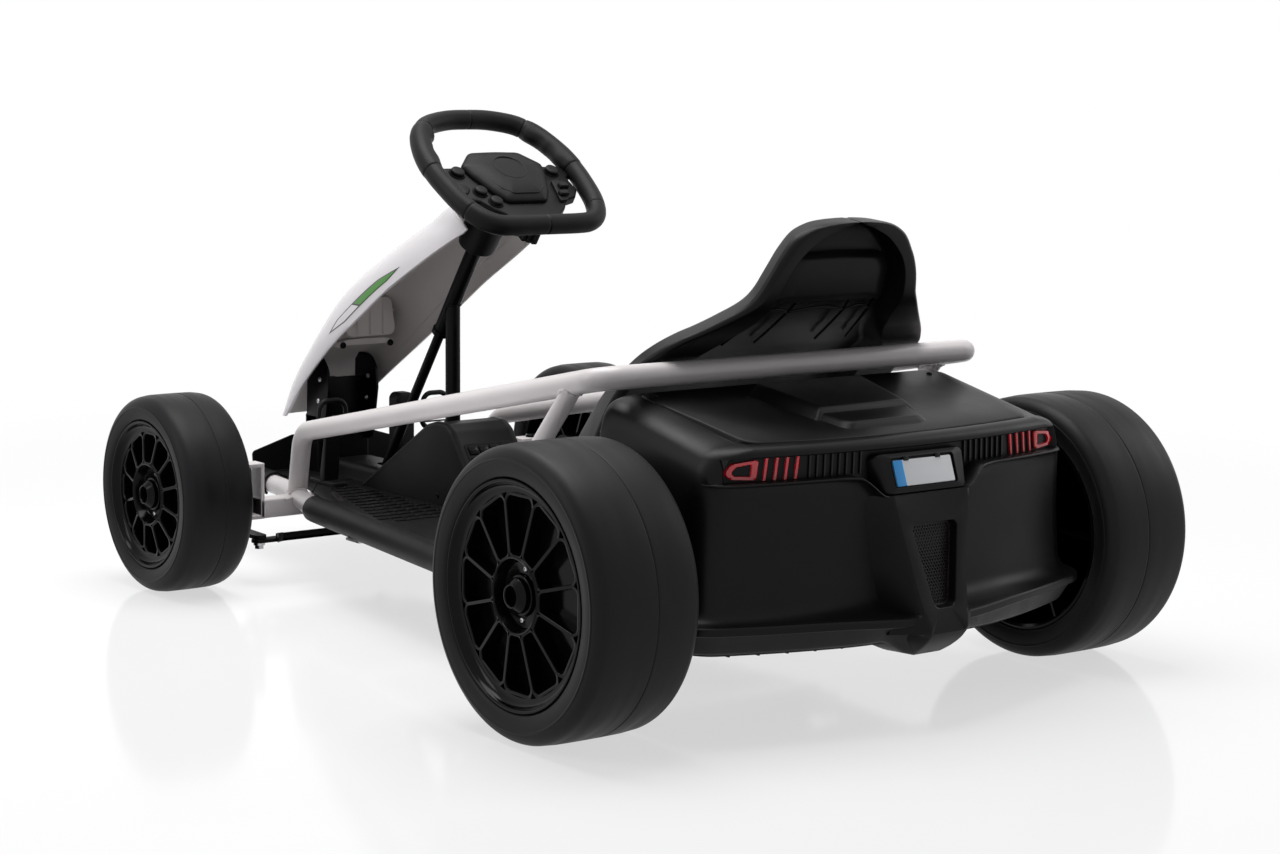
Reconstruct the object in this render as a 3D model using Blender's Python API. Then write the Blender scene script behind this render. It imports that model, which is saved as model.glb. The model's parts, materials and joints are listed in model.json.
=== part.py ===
"""Electric drift kart for a child, modelled as separate pieces.

Metres, +Z up. The kart faces -Y, its left side is +X, it stands on z = 0 and the
origin is at the middle of its footprint. Places along the kart are given behind the
front axle for the cockpit and behind the rear axle for the tail, positive towards the
tail, so places ahead of that axle are negative.
"""
from math import cos, pi, radians, sin, tan

import bmesh
import bpy
from mathutils import Matrix, Vector

# Overall sizes
LENGTH = 1.294
REAR_OVERHANG = 0.192
WHEELBASE = 0.875
REAR_AXLE_Y = LENGTH / 2 - REAR_OVERHANG
FRONT_AXLE_Y = REAR_AXLE_Y - WHEELBASE
SEAT_GAP = 0.0003          # air left between pieces that touch

# Wheels
REAR_TYRE_RADIUS = 0.150
REAR_TYRE_WIDTH = 0.128
REAR_SIDEWALL = 0.0335      # tyre's height over the wheel's bead
REAR_RIM_RADIUS = REAR_TYRE_RADIUS - REAR_SIDEWALL
REAR_WHEEL_X = 0.348       # middle plane of a rear wheel
FRONT_TYRE_RADIUS = 0.124
FRONT_TYRE_WIDTH = 0.096
FRONT_SIDEWALL = 0.031
FRONT_RIM_RADIUS = FRONT_TYRE_RADIUS - FRONT_SIDEWALL
FRONT_WHEEL_X = 0.319
SPOKE_COUNT = 12
FACE_DEPTH = 0.012         # wheel's face behind the tyre's side, at its outer edge
CUP_RIM_DEPTH = 0.0065     # rim of the cup round the axle's end, behind the tyre's side
CUP_FLOOR_DEPTH = 0.0185
CUP_RADIUS = 0.0375
WHEEL_STEPS = 36
AXLE_RADIUS = 0.006
AXLE_CLEARANCE = 0.0006    # running gap between an axle and its wheel

# Steel frame
FRAME_Z = 0.100
TUBE_RADIUS = 0.0125
TUBE_SIDES = 10
BEAM_SIZE = 0.025
BEAM_DROP = 0.008          # beam's middle below that of the frame tubes
KINGPIN_X = 0.225
KINGPIN_RADIUS = 0.005
KINGPIN_CLEARANCE = 0.0006
YOKE_PLATE = 0.005
YOKE_HEIGHT = 0.062
BARREL_RADIUS = 0.011

# Steering
COLUMN_TILT = radians(55.2)            # column above the horizontal
COLUMN_FOOT = (0.051, 0.224)           # a point on the column: behind the front axle, height
STEERING_WHEEL_HEIGHT = 0.529
SHAFT_RADIUS = 0.0065
SLEEVE_RADIUS = 0.010
SLEEVE_CLEARANCE = 0.0007
CRANK_RADIUS = 0.030
ARM_LENGTH = 0.042
TIE_BAR_Z = 0.058
TIE_BAR_THICKNESS = 0.004
TIE_PIN_RADIUS = 0.004
PIN_CLEARANCE = 0.0016
RIM_TUBE_RADIUS = 0.0115

# Hoop rail
HOOP_CORNER = (0.025, 0.151, 0.190)    # behind the front axle, half width, height
HOOP_REAR = (-0.055, 0.265, 0.349)     # behind the rear axle, half width, height
HOOP_FOOT_Y = -0.010                   # behind the front axle
HOOP_BEND = 0.045
HOOP_POST_TOP = -0.104                 # behind the rear axle, where the rear post meets the rail
HOOP_POST_FOOT = (-0.185, 0.247)       # behind the rear axle, height

# Bodywork
SHELL = 0.0035
PAN_TOP = FRAME_Z + 0.008
PAN_THICKNESS = 0.003
WRAP_THICKNESS = 0.0032
SEAT_WALL = 0.006
BODY_WALL = 0.005

MATERIALS = {
    "white_paint": ((0.74, 0.71, 0.71), 0.28, 0.0),
    "black_steel": ((0.02, 0.02, 0.02), 0.40, 0.3),
    "zinc_steel": ((0.55, 0.55, 0.56), 0.35, 1.0),
    "tyre_rubber": ((0.022, 0.022, 0.024), 0.55, 0.0),
    "gloss_black": ((0.008, 0.008, 0.008), 0.12, 0.0),
    "satin_black": ((0.018, 0.018, 0.019), 0.42, 0.0),
    "grained_black": ((0.025, 0.025, 0.026), 0.60, 0.0),
    "white_shell": ((0.72, 0.69, 0.70), 0.20, 0.0),
    "red_lens": ((0.55, 0.01, 0.02), 0.20, 0.0),
    "grey_plastic": ((0.08, 0.08, 0.08), 0.50, 0.0),
    "plate_white": ((0.80, 0.80, 0.80), 0.35, 0.0),
}


def clear_scene():
    for obj in list(bpy.data.objects):
        bpy.data.objects.remove(obj, do_unlink=True)


def material(name):
    found = bpy.data.materials.get(name)
    if found:
        return found
    colour, roughness, metallic = MATERIALS[name]
    made = bpy.data.materials.new(name)
    made.use_nodes = True
    shader = made.node_tree.nodes["Principled BSDF"]
    shader.inputs["Base Color"].default_value = (*colour, 1.0)
    shader.inputs["Roughness"].default_value = roughness
    shader.inputs["Metallic"].default_value = metallic
    return made


def add_object(name, bm, material_name, smooth=True):
    bmesh.ops.recalc_face_normals(bm, faces=bm.faces[:])
    mesh = bpy.data.meshes.new(name)
    bm.to_mesh(mesh)
    bm.free()
    if smooth:
        mesh.shade_smooth()
        mesh.set_sharp_from_angle(angle=radians(35))
    mesh.materials.append(material(material_name))
    obj = bpy.data.objects.new(name, mesh)
    bpy.context.scene.collection.objects.link(obj)
    return obj


def boolean(obj, other, operation):
    other.hide_render = True
    other.display_type = "WIRE"
    modifier = obj.modifiers.new(operation.title(), "BOOLEAN")
    modifier.operation = operation
    modifier.object = other
    modifier.solver = "EXACT"


def cut(obj, *cutters):
    for cutter in cutters:
        boolean(obj, cutter, "DIFFERENCE")


def join_to(obj, *others):
    for other in others:
        boolean(obj, other, "UNION")


def skin(bm, loops, closed=False):
    """Skin equal loops of points with quads; cap both ends, or close the ring."""
    rings = [[bm.verts.new(p) for p in loop] for loop in loops]
    count = len(rings[0])
    pairs = list(zip(rings, rings[1:]))
    if closed:
        pairs.append((rings[-1], rings[0]))
    for near, far in pairs:
        for i in range(count):
            j = (i + 1) % count
            bm.faces.new((near[i], near[j], far[j], far[i]))
    if not closed:
        bm.faces.new(rings[0])
        bm.faces.new(rings[-1])
    return bm


def prism(outline, low, high, place):
    """Extrude a flat outline from low to high; place(a, b, c) gives the 3-D point."""
    bm = bmesh.new()
    return skin(bm, [[Vector(place(a, b, c)) for a, b in outline] for c in (low, high)])


def along_x(a, b, c):
    return (c, a, b)


def along_y(a, b, c):
    return (a, c, b)


def along_z(a, b, c):
    return (a, b, c)


def box(x, y, z):
    """A box from its three (low, high) ranges."""
    outline = [(x[0], y[0]), (x[1], y[0]), (x[1], y[1]), (x[0], y[1])]
    return prism(outline, z[0], z[1], along_z)


def arc(centre, radius, start, end, steps):
    """Points of an arc in degrees, both ends included."""
    turn = [radians(start + (end - start) * i / steps) for i in range(steps + 1)]
    return [(centre[0] + radius * cos(a), centre[1] + radius * sin(a)) for a in turn]


def fillet(points, radius, steps=4, closed=False):
    """Round the corners of a polyline or outline, in 2-D or 3-D."""
    points = [Vector(p) for p in points]
    count = len(points)
    result = []
    for i, corner in enumerate(points):
        if not closed and i in (0, count - 1):
            result.append(corner.copy())
            continue
        before = points[i - 1] - corner
        after = points[(i + 1) % count] - corner
        half = before.angle(after) / 2
        if half > radians(89.5):
            result.append(corner.copy())
            continue
        reach = min(radius / tan(half), before.length * 0.49, after.length * 0.49)
        start = corner + before.normalized() * reach
        end = corner + after.normalized() * reach
        bow = (before.normalized() + after.normalized()).normalized()
        bend_radius = reach * tan(half)
        centre = corner + bow * (bend_radius / sin(half))
        for k in range(steps + 1):
            mix = start.lerp(end, k / steps) - centre
            result.append(centre + mix.normalized() * bend_radius)
    return result


def tube(points, radius, sides=TUBE_SIDES, closed=False, squash=1.0):
    """Sweep a round section along a path without twisting it."""
    points = [Vector(p) for p in points]
    count = len(points)
    loops = []
    side = None
    for i, p in enumerate(points):
        if closed:
            back, ahead = points[i - 1], points[(i + 1) % count]
        else:
            back, ahead = points[max(i - 1, 0)], points[min(i + 1, count - 1)]
        run = (ahead - p).normalized() + (p - back).normalized()
        run = run.normalized()
        if side is None:
            side = run.orthogonal().normalized()
        side = (side - run * side.dot(run)).normalized()
        up = run.cross(side)
        turns = [2 * pi * (k + 0.5) / sides for k in range(sides)]
        loops.append([p + side * radius * cos(a) + up * radius * squash * sin(a) for a in turns])
    return skin(bmesh.new(), loops, closed)


def rod(start, end, radius, sides=TUBE_SIDES):
    return tube([start, end], radius, sides)


def turned(profile, steps, centre=(0, 0, 0), axis="X", closed=True):
    """Turn a profile of (along, radius) points about an axis through centre.

    A closed profile gives a ring; an open one starts and ends at its end discs.
    """
    centre = Vector(centre)
    loops = []
    for along, radius in profile:
        loop = []
        for k in range(steps):
            a = 2 * pi * k / steps
            p = (along, radius * cos(a), radius * sin(a))
            if axis == "Y":
                p = (p[1], p[0], p[2])
            if axis == "Z":
                p = (p[1], p[2], p[0])
            loop.append(centre + Vector(p))
        loops.append(loop)
    return skin(bmesh.new(), loops, closed)


def mirrored(bm):
    """The same shape on the kart's other side."""
    bmesh.ops.transform(bm, matrix=Matrix.Scale(-1, 4, (1, 0, 0)), verts=bm.verts[:])
    return bm


SIDES = (("left", 1), ("right", -1))


def sided(bm, side):
    return bm if side > 0 else mirrored(bm)


def from_axle(y):
    return REAR_AXLE_Y + y


def from_front(y):
    return FRONT_AXLE_Y + y


def column_point(height):
    """The point of the steering column's axis at a height."""
    rise = height - COLUMN_FOOT[1]
    return Vector((0, from_front(COLUMN_FOOT[0]) + rise / tan(COLUMN_TILT), height))


COLUMN_AXIS = Vector((0, cos(COLUMN_TILT), sin(COLUMN_TILT)))
COLUMN_UP = Vector((0, -sin(COLUMN_TILT), cos(COLUMN_TILT)))


# Frame tubes

# side tube's middle line: place behind its axle, half width
FRAME_FRONT = [(-0.193, 0.106), (-0.065, 0.123), (0.095, 0.172)]
FRAME_REAR = [(-0.330, 0.234), (-0.130, 0.214), (0.085, 0.214)]
FRONT_CROSS_TUBE = -0.180
REAR_CROSS_TUBE = -0.140
FRONT_STRIP = 0.235
REAR_STRIP = -0.300
STRIP_WIDTH = 0.030
STRIP_THICKNESS = 0.003


def frame_path():
    corners = [(x, from_front(y), FRAME_Z) for y, x in FRAME_FRONT]
    corners += [(x, from_axle(y), FRAME_Z) for y, x in FRAME_REAR]
    return fillet(corners, 0.12, 2)


def frame_x(y):
    """Half width of the side tube's middle line at a place along the kart."""
    path = frame_path()
    for near, far in zip(path, path[1:]):
        if near.y <= y <= far.y:
            return near.x + (far.x - near.x) * (y - near.y) / (far.y - near.y)
    end = path[0] if y < path[0].y else path[-1]
    return end.x


def make_frame():
    for name, side in SIDES:
        side_tube = tube(frame_path(), TUBE_RADIUS)
        add_object(f"frame_tube_{name}", sided(side_tube, side), "white_paint")
    cross_tubes = (("front_cross_tube", from_front(FRONT_CROSS_TUBE)),
                   ("rear_cross_tube", from_axle(REAR_CROSS_TUBE)))
    for name, y in cross_tubes:
        inside = min(frame_x(y - TUBE_RADIUS), frame_x(y + TUBE_RADIUS))
        end = inside - TUBE_RADIUS * 1.02 - SEAT_GAP
        cross = rod((-end, y, FRAME_Z), (end, y, FRAME_Z), TUBE_RADIUS)
        add_object(name, cross, "black_steel")
    top = FRAME_Z - TUBE_RADIUS - SEAT_GAP
    for name, y in (("front", from_front(FRONT_STRIP)), ("rear", from_axle(REAR_STRIP))):
        half = frame_x(y) + TUBE_RADIUS
        strip = box((-half, half), (y - STRIP_WIDTH / 2, y + STRIP_WIDTH / 2),
                    (top - STRIP_THICKNESS, top))
        add_object(f"cross_strip_{name}", strip, "zinc_steel", smooth=False)


def kingpin_heights():
    """Low and high faces of the yoke's gap, which holds the knuckle's barrel."""
    low = FRAME_Z - BEAM_SIZE / 2 - BEAM_DROP + YOKE_PLATE
    return low, low + YOKE_HEIGHT


def make_front_beam():
    y = FRONT_AXLE_Y
    web_x = KINGPIN_X - BARREL_RADIUS - 0.009
    half = BEAM_SIZE / 2
    beam_z = FRAME_Z - BEAM_DROP
    beam = add_object("front_beam", box((-web_x, web_x), (y - half, y + half),
                                        (beam_z - half, beam_z + half)),
                      "white_paint", smooth=False)
    low, high = kingpin_heights()
    outer = KINGPIN_X + BARREL_RADIUS + 0.004
    for name, side in SIDES:
        profile = [(web_x - YOKE_PLATE, low - YOKE_PLATE), (outer, low - YOKE_PLATE), (outer, low),
                   (web_x, low), (web_x, high), (outer, high), (outer, high + YOKE_PLATE),
                   (web_x - YOKE_PLATE, high + YOKE_PLATE)]
        yoke = add_object(f"yoke_form_{name}",
                          sided(prism(profile, y - half, y + half, along_y), side), "white_paint")
        join_to(beam, yoke)
        bore = rod((side * KINGPIN_X, y, low - 0.02), (side * KINGPIN_X, y, high + 0.02),
                   KINGPIN_RADIUS + KINGPIN_CLEARANCE, 16)
        cut(beam, add_object(f"kingpin_bore_{name}", bore, "white_paint"))
        notch = sided(tube(frame_path(), TUBE_RADIUS + SEAT_GAP), side)
        cut(beam, add_object(f"frame_notch_{name}", notch, "white_paint"))
        x = side * frame_x(y - half)
        mouth = rod((x, y - half - 0.003, FRAME_Z), (x, y - half + 0.002, FRAME_Z),
                    TUBE_RADIUS + 0.002)
        cut(beam, add_object(f"notch_mouth_{name}", mouth, "white_paint"))


def hoop_points():
    corner = Vector((HOOP_CORNER[1], from_front(HOOP_CORNER[0]), HOOP_CORNER[2]))
    foot_y = from_front(HOOP_FOOT_Y)
    foot = Vector((frame_x(foot_y), foot_y, FRAME_Z + TUBE_RADIUS + SEAT_GAP))
    rear = Vector((HOOP_REAR[1], from_axle(HOOP_REAR[0]), HOOP_REAR[2]))
    return foot, corner, rear


def hoop_path():
    foot, corner, rear = hoop_points()
    inner = Vector((rear.x - HOOP_BEND * 1.2, rear.y, rear.z))
    return fillet([foot, corner, rear, inner], HOOP_BEND, 5)


def make_hoop():
    path = hoop_path()
    rear = path[-1]
    for name, side in SIDES:
        rail = tube(path, TUBE_RADIUS)
        rail_obj = add_object(f"hoop_rail_{name}", sided(rail, side), "white_paint")
        saddle = sided(tube(frame_path(), TUBE_RADIUS + SEAT_GAP), side)
        cut(rail_obj, add_object(f"hoop_saddle_{name}", saddle, "white_paint"))
    end = rear.x - SEAT_GAP
    add_object("hoop_rail_rear", rod((-end, rear.y, rear.z), (end, rear.y, rear.z), TUBE_RADIUS),
               "white_paint")


def make_hoop_posts():
    _, corner, rear = hoop_points()
    top_y = from_axle(HOOP_POST_TOP)
    share = (top_y - corner.y) / (rear.y - corner.y)
    top = corner.lerp(rear, share)
    foot_y, foot_z = from_axle(HOOP_POST_FOOT[0]), HOOP_POST_FOOT[1]
    foot = Vector((top.x, foot_y, foot_z))
    ankle = Vector((frame_x(foot_y), foot_y - 0.02, FRAME_Z + 0.004))
    for name, side in SIDES:
        post = tube(fillet([top, foot, ankle], 0.03, 4), 0.010, 10)
        post_obj = add_object(f"hoop_post_{name}", sided(post, side), "white_paint")
        rail_cut = sided(tube(hoop_path(), TUBE_RADIUS + SEAT_GAP), side)
        cut(post_obj, add_object(f"post_rail_cut_{name}", rail_cut, "white_paint"))
        tube_cut = sided(tube(frame_path(), TUBE_RADIUS + SEAT_GAP), side)
        cut(post_obj, add_object(f"post_tube_cut_{name}", tube_cut, "white_paint"))


# Floor pan

PAN_NOSE = -0.165              # behind the front axle
PAN_TAIL = -0.240              # behind the rear axle
WRAP_GAP = (-0.110, 0.085)     # behind the front axle, where the white tube shows past the pan


def pan_section(y):
    """Closed outline of the pan at y: a flat plate whose edges roll over the tubes."""
    inner = TUBE_RADIUS + 0.001
    outer = inner + WRAP_THICKNESS
    top = PAN_TOP
    stretch = 1.06
    right = [(x * stretch, z) for x, z in arc((0, 0), outer, 140, -50, 8)]
    back = [(x * stretch, z) for x, z in arc((0, 0), inner, -50, 130, 8)]
    x0 = frame_x(y)
    half = [(x0 + x, FRAME_Z + z) for x, z in right + back]
    plate = x0 - outer * stretch
    outline = [(plate * 0.6, top)] + [(plate - 0.004, top)] + half
    outline += [(plate - 0.004, top - PAN_THICKNESS), (plate * 0.6, top - PAN_THICKNESS)]
    other = [(-x, z) for x, z in reversed(outline)]
    return [Vector((x, y, z)) for x, z in outline + other]


HUMP_ENDS = (-0.110, 0.024)    # behind the front axle; the raised middle where the shaft enters
HUMP_HALF = 0.032
HUMP_RISE = 0.022


def hump_outline(grow):
    """Section of the pan's hump across the kart."""
    half, top = HUMP_HALF + grow, PAN_TOP + HUMP_RISE + grow
    corners = [(half, top), (-half, top)]
    rounded = [tuple(p) for p in fillet([(half, PAN_TOP - 0.002), *corners, (-half, PAN_TOP - 0.002)],
                                        0.012, 3)]
    return rounded


def pan_hump(grow):
    low, high = (from_front(y) for y in HUMP_ENDS)
    return prism(hump_outline(grow), low - grow, high + grow, along_y)


def make_floor_pan():
    nose, tail = from_front(PAN_NOSE), from_axle(PAN_TAIL)
    ys = [nose] + [p.y for p in frame_path() if nose + 0.005 < p.y < tail - 0.005] + [tail]
    pan = add_object("floor_pan", skin(bmesh.new(), [pan_section(y) for y in ys]), "grained_black")
    low, high = (from_front(y) for y in WRAP_GAP)
    for name, side in SIDES:
        mid = frame_x((low + high) / 2)
        gap = box((frame_x(low) - 0.019, mid + 0.08), (low, high), (0.05, 0.15))
        cut(pan, add_object(f"wrap_gap_{name}", sided(gap, side), "grained_black"))
    join_to(pan, add_object("pan_hump", pan_hump(0), "grained_black"))
    hole_at = column_point(FRAME_Z)
    hole = box((-0.016, 0.016), (hole_at.y - 0.024, hole_at.y + 0.045), (0.08, 0.15))
    cut(pan, add_object("column_hole", hole, "grained_black"))
    hollow = prism(hump_outline(-0.004), from_front(HUMP_ENDS[0]) + 0.004,
                   from_front(HUMP_ENDS[1]) - 0.004, along_y)
    cut(pan, add_object("hump_hollow", hollow, "grained_black"))


TOE_BOARD_FRONT = -0.1645      # behind the front axle
TOE_BOARD_THICKNESS = 0.003


def make_toe_board():
    """Low front wall of the pan, higher in the middle."""
    y = from_front(TOE_BOARD_FRONT)
    bottom = PAN_TOP + SEAT_GAP
    half = frame_x(y) + 0.012
    over = FRAME_Z + TUBE_RADIUS + 0.001 + WRAP_THICKNESS + SEAT_GAP
    inner = frame_x(y) - 0.021
    right = [(inner, bottom), (inner, over), (half, over), (half, bottom + 0.030),
             (half * 0.5, bottom + 0.048)]
    outline = right + [(-a, b) for a, b in reversed(right)]
    board = prism(outline, y, y + TOE_BOARD_THICKNESS, along_y)
    add_object("toe_board", board, "grained_black", smooth=False)


# Wheels

def tyre_profile(radius, width, bead):
    """Closed profile of (along the axle, radius) with rounded shoulders."""
    half = width / 2
    shoulder = min(0.022, (radius - bead) * 0.7)
    crown = radius - 0.0015
    right = arc((half - shoulder, crown - shoulder), shoulder, 78, 0, 3)
    points = [(0, radius)] + right + [(half - 0.004, bead + 0.004), (half - 0.008, bead)]
    return points + [(-a, r) for a, r in reversed(points[1:])]


def rim_profile(bead, width):
    """Closed profile of the wheel: hub tube, disc, barrel, lip and cupped face."""
    half = width / 2
    lip = half - 0.006
    face, cup_rim, cup_floor = half - FACE_DEPTH, half - CUP_RIM_DEPTH, half - CUP_FLOOR_DEPTH
    back = cup_floor - 0.008
    barrel = bead - SEAT_GAP
    bore = AXLE_RADIUS + AXLE_CLEARANCE
    return [(-lip, bore), (-lip, 0.020), (back, 0.024), (back, bead - 0.014),
            (-lip, bead - 0.010), (-lip, barrel), (lip, barrel), (lip, bead - 0.005),
            (face, bead - 0.010), (cup_rim, CUP_RADIUS + 0.002), (cup_rim, CUP_RADIUS - 0.001),
            (cup_floor, CUP_RADIUS - 0.004), (cup_floor, bore)]


def wheel_pocket(bead, width, index, centre, side):
    """Cutter for one rounded window between two spokes."""
    face = width / 2 - FACE_DEPTH
    step = 2 * pi / SPOKE_COUNT
    inner, outer = CUP_RADIUS + 0.005, bead - 0.014
    rib = 0.0028
    outline = []
    for radius, order in ((inner, 1), (outer, -1)):
        half = step / 2 - rib / radius
        for k in (-1, 1):
            a = index * step + order * k * half
            outline.append((radius * cos(a), radius * sin(a)))
    rounded = fillet(outline, 0.006, 1, closed=True)
    low, high = face - 0.011, face + 0.02
    return prism([tuple(p) for p in rounded], low, high,
                 lambda a, b, c: (centre[0] + side * c, centre[1] + a, centre[2] + b))


def make_wheel(name, centre, side, radius, width, bead):
    tyre = turned(tyre_profile(radius, width, bead), WHEEL_STEPS, centre)
    add_object(f"tyre_{name}", tyre, "tyre_rubber")
    profile = [(side * a, r) for a, r in rim_profile(bead, width)]
    rim = add_object(f"rim_{name}", turned(profile, WHEEL_STEPS, centre), "gloss_black")
    pockets = bmesh.new()
    for index in range(SPOKE_COUNT):
        pocket = wheel_pocket(bead, width, index, centre, side)
        mesh = bpy.data.meshes.new("pocket")
        pocket.to_mesh(mesh)
        pocket.free()
        pockets.from_mesh(mesh)
        bpy.data.meshes.remove(mesh)
    cut(rim, add_object(f"rim_pockets_{name}", pockets, "gloss_black"))
    floor, cup_rim = width / 2 - CUP_FLOOR_DEPTH + SEAT_GAP, width / 2 - CUP_RIM_DEPTH
    cap = [(floor, 0.0205), (cup_rim - 0.006, 0.0205), (cup_rim - 0.005, 0.018),
           (cup_rim - 0.001, 0.018), (cup_rim + 0.0045, 0.0115)]
    cap = [(side * a, r) for a, r in cap]
    add_object(f"hub_cap_{name}", turned(cap, 16, centre, closed=False), "gloss_black")


def wheel_centres():
    return {
        "front_left": (Vector((FRONT_WHEEL_X, FRONT_AXLE_Y, FRONT_TYRE_RADIUS)), 1),
        "front_right": (Vector((-FRONT_WHEEL_X, FRONT_AXLE_Y, FRONT_TYRE_RADIUS)), -1),
        "rear_left": (Vector((REAR_WHEEL_X, REAR_AXLE_Y, REAR_TYRE_RADIUS)), 1),
        "rear_right": (Vector((-REAR_WHEEL_X, REAR_AXLE_Y, REAR_TYRE_RADIUS)), -1),
    }


def make_wheels():
    for name, (centre, side) in wheel_centres().items():
        if name.startswith("front"):
            sizes = (FRONT_TYRE_RADIUS, FRONT_TYRE_WIDTH, FRONT_RIM_RADIUS)
        else:
            sizes = (REAR_TYRE_RADIUS, REAR_TYRE_WIDTH, REAR_RIM_RADIUS)
        make_wheel(name, centre, side, *sizes)


# Front knuckles and steering linkage

def make_knuckles():
    low, high = kingpin_heights()
    y = FRONT_AXLE_Y
    arm_top = TIE_BAR_Z + TIE_BAR_THICKNESS / 2 + 0.0008 + 0.005
    wheel_face = FRONT_WHEEL_X + FRONT_TYRE_WIDTH / 2
    for name, side in SIDES:
        x = KINGPIN_X
        centre = (x, y, 0)
        barrel = [(low + 0.0008, BARREL_RADIUS), (high - 0.0008, BARREL_RADIUS)]
        body = turned(barrel, 16, centre, "Z", closed=False)
        knuckle = add_object(f"knuckle_{name}", sided(body, side), "black_steel")
        pin = [(arm_top - 0.005, KINGPIN_RADIUS), (high + YOKE_PLATE + 0.004, KINGPIN_RADIUS)]
        pin_obj = add_object(f"kingpin_{name}", sided(turned(pin, 12, centre, "Z", closed=False), side),
                             "black_steel")
        stub_end = wheel_face - CUP_FLOOR_DEPTH
        stub = [(x, AXLE_RADIUS + 0.003), (x + BARREL_RADIUS + 0.012, AXLE_RADIUS + 0.003),
                (x + BARREL_RADIUS + 0.012, AXLE_RADIUS), (stub_end, AXLE_RADIUS)]
        stub_obj = add_object(f"stub_axle_{name}",
                              sided(turned(stub, 12, (0, y, FRONT_TYRE_RADIUS), "X", closed=False),
                                    side), "black_steel")
        outline = fillet([(x - 0.010, y - 0.012), (x + 0.010, y - 0.012),
                          (x + 0.008, y + ARM_LENGTH + 0.009), (x - 0.008, y + ARM_LENGTH + 0.009)],
                         0.007, 3, closed=True)
        arm = prism([tuple(p) for p in outline], arm_top - 0.005, arm_top, along_z)
        arm_obj = add_object(f"steering_arm_{name}", sided(arm, side), "black_steel")
        pin_low = TIE_BAR_Z - TIE_BAR_THICKNESS / 2 - 0.006
        tie_pin = turned([(pin_low, TIE_PIN_RADIUS), (arm_top - 0.002, TIE_PIN_RADIUS)], 12,
                         (x, y + ARM_LENGTH, 0), "Z", closed=False)
        tie_pin_obj = add_object(f"tie_pin_{name}", sided(tie_pin, side), "black_steel")
        join_to(knuckle, pin_obj, stub_obj, arm_obj, tie_pin_obj)


def crank_points():
    """Shaft foot on the axis, crank end, and the tip of its pin."""
    crank = Vector((0, sin(COLUMN_TILT), -cos(COLUMN_TILT)))
    end_z = TIE_BAR_Z + TIE_BAR_THICKNESS / 2 + SHAFT_RADIUS + 0.003
    foot = column_point(end_z + CRANK_RADIUS * cos(COLUMN_TILT))
    end = foot + crank * CRANK_RADIUS
    tip = end - COLUMN_AXIS * 0.024
    return foot, end, tip


def make_tie_bar():
    y = FRONT_AXLE_Y + ARM_LENGTH
    half = TIE_BAR_THICKNESS / 2
    _, end, tip = crank_points()
    share = (end.z - TIE_BAR_Z) / (end.z - tip.z)
    slot_y = end.lerp(tip, share).y
    outline = arc((KINGPIN_X, y), 0.010, 90, -90, 6)
    outline += [(0.030, y - 0.010), (0.018, slot_y - 0.020), (-0.018, slot_y - 0.020),
                (-0.030, y - 0.010)]
    outline += arc((-KINGPIN_X, y), 0.010, 270, 90, 6)
    bar = add_object("tie_bar", prism(outline, TIE_BAR_Z - half, TIE_BAR_Z + half, along_z),
                     "black_steel", smooth=False)
    for name, side in SIDES:
        hole = rod((side * KINGPIN_X, y, TIE_BAR_Z - 0.01), (side * KINGPIN_X, y, TIE_BAR_Z + 0.01),
                   TIE_PIN_RADIUS + 0.0008, 16)
        cut(bar, add_object(f"tie_hole_{name}", hole, "black_steel"))
    width = SHAFT_RADIUS * 0.75 + PIN_CLEARANCE
    slot = box((-width, width), (slot_y - 0.014, slot_y + 0.014),
               (TIE_BAR_Z - 0.01, TIE_BAR_Z + 0.01))
    cut(bar, add_object("crank_slot", slot, "black_steel"))


# upper edge of the wheel's pad, from the rim inwards: half width, distance up the wheel
PAD_TOP = [(0.100, 0.018), (0.060, 0.028), (0.044, 0.046)]
# corners of the steering wheel's rim: half width, distance up the wheel
RIM_CORNERS = [(0.082, 0.106), (0.118, -0.008), (0.094, -0.090)]
RIM_CORNER_RADIUS = 0.034


def steering_rim_outline():
    corners = RIM_CORNERS + [(-a, b) for a, b in reversed(RIM_CORNERS)]
    return fillet(corners, RIM_CORNER_RADIUS, 4, closed=True)


def make_steering_wheel():
    centre = column_point(STEERING_WHEEL_HEIGHT)

    def on_wheel(a, b, c):
        return centre + Vector((a, 0, 0)) + COLUMN_UP * b + COLUMN_AXIS * c

    flat = steering_rim_outline()
    path = [on_wheel(p[0], p[1], 0) for p in flat]
    add_object("steering_rim", tube(path, RIM_TUBE_RADIUS, 10, closed=True), "grained_black")
    below = [(p[0] * 0.95, p[1] * 0.95) for p in flat if p[1] < PAD_TOP[0][1]]
    outline = below + [(-a, b) for a, b in PAD_TOP] + list(reversed(PAD_TOP))
    pad = add_object("steering_pad", prism(outline, -0.010, 0.008, on_wheel), "grained_black",
                     smooth=False)
    hub = [(-0.046, 0.017), (-0.030, 0.020), (-0.0098, 0.026), (0.000, 0.026)]
    cup = add_object("steering_cup", turned_on_column(hub, centre, 20), "grained_black")
    join_to(pad, cup)
    ring = add_object("rim_cut", tube(path, RIM_TUBE_RADIUS + SEAT_GAP, 10, closed=True),
                      "grained_black")
    cut(pad, ring)
    for side in (-1, 1):
        hole = fillet([(side * 0.062, -0.030), (side * 0.118, -0.024), (side * 0.108, -0.100),
                       (side * 0.054, -0.100)], 0.008, 2, closed=True)
        window = prism([tuple(p) for p in hole], -0.03, 0.03, on_wheel)
        cut(pad, add_object(f"wheel_window_{'left' if side > 0 else 'right'}", window,
                            "grained_black"))
    bore = turned_on_column([(-0.06, SHAFT_RADIUS + SEAT_GAP), (-0.012, SHAFT_RADIUS + SEAT_GAP)],
                            centre, 12)
    cut(pad, add_object("hub_bore", bore, "grained_black"))


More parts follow.
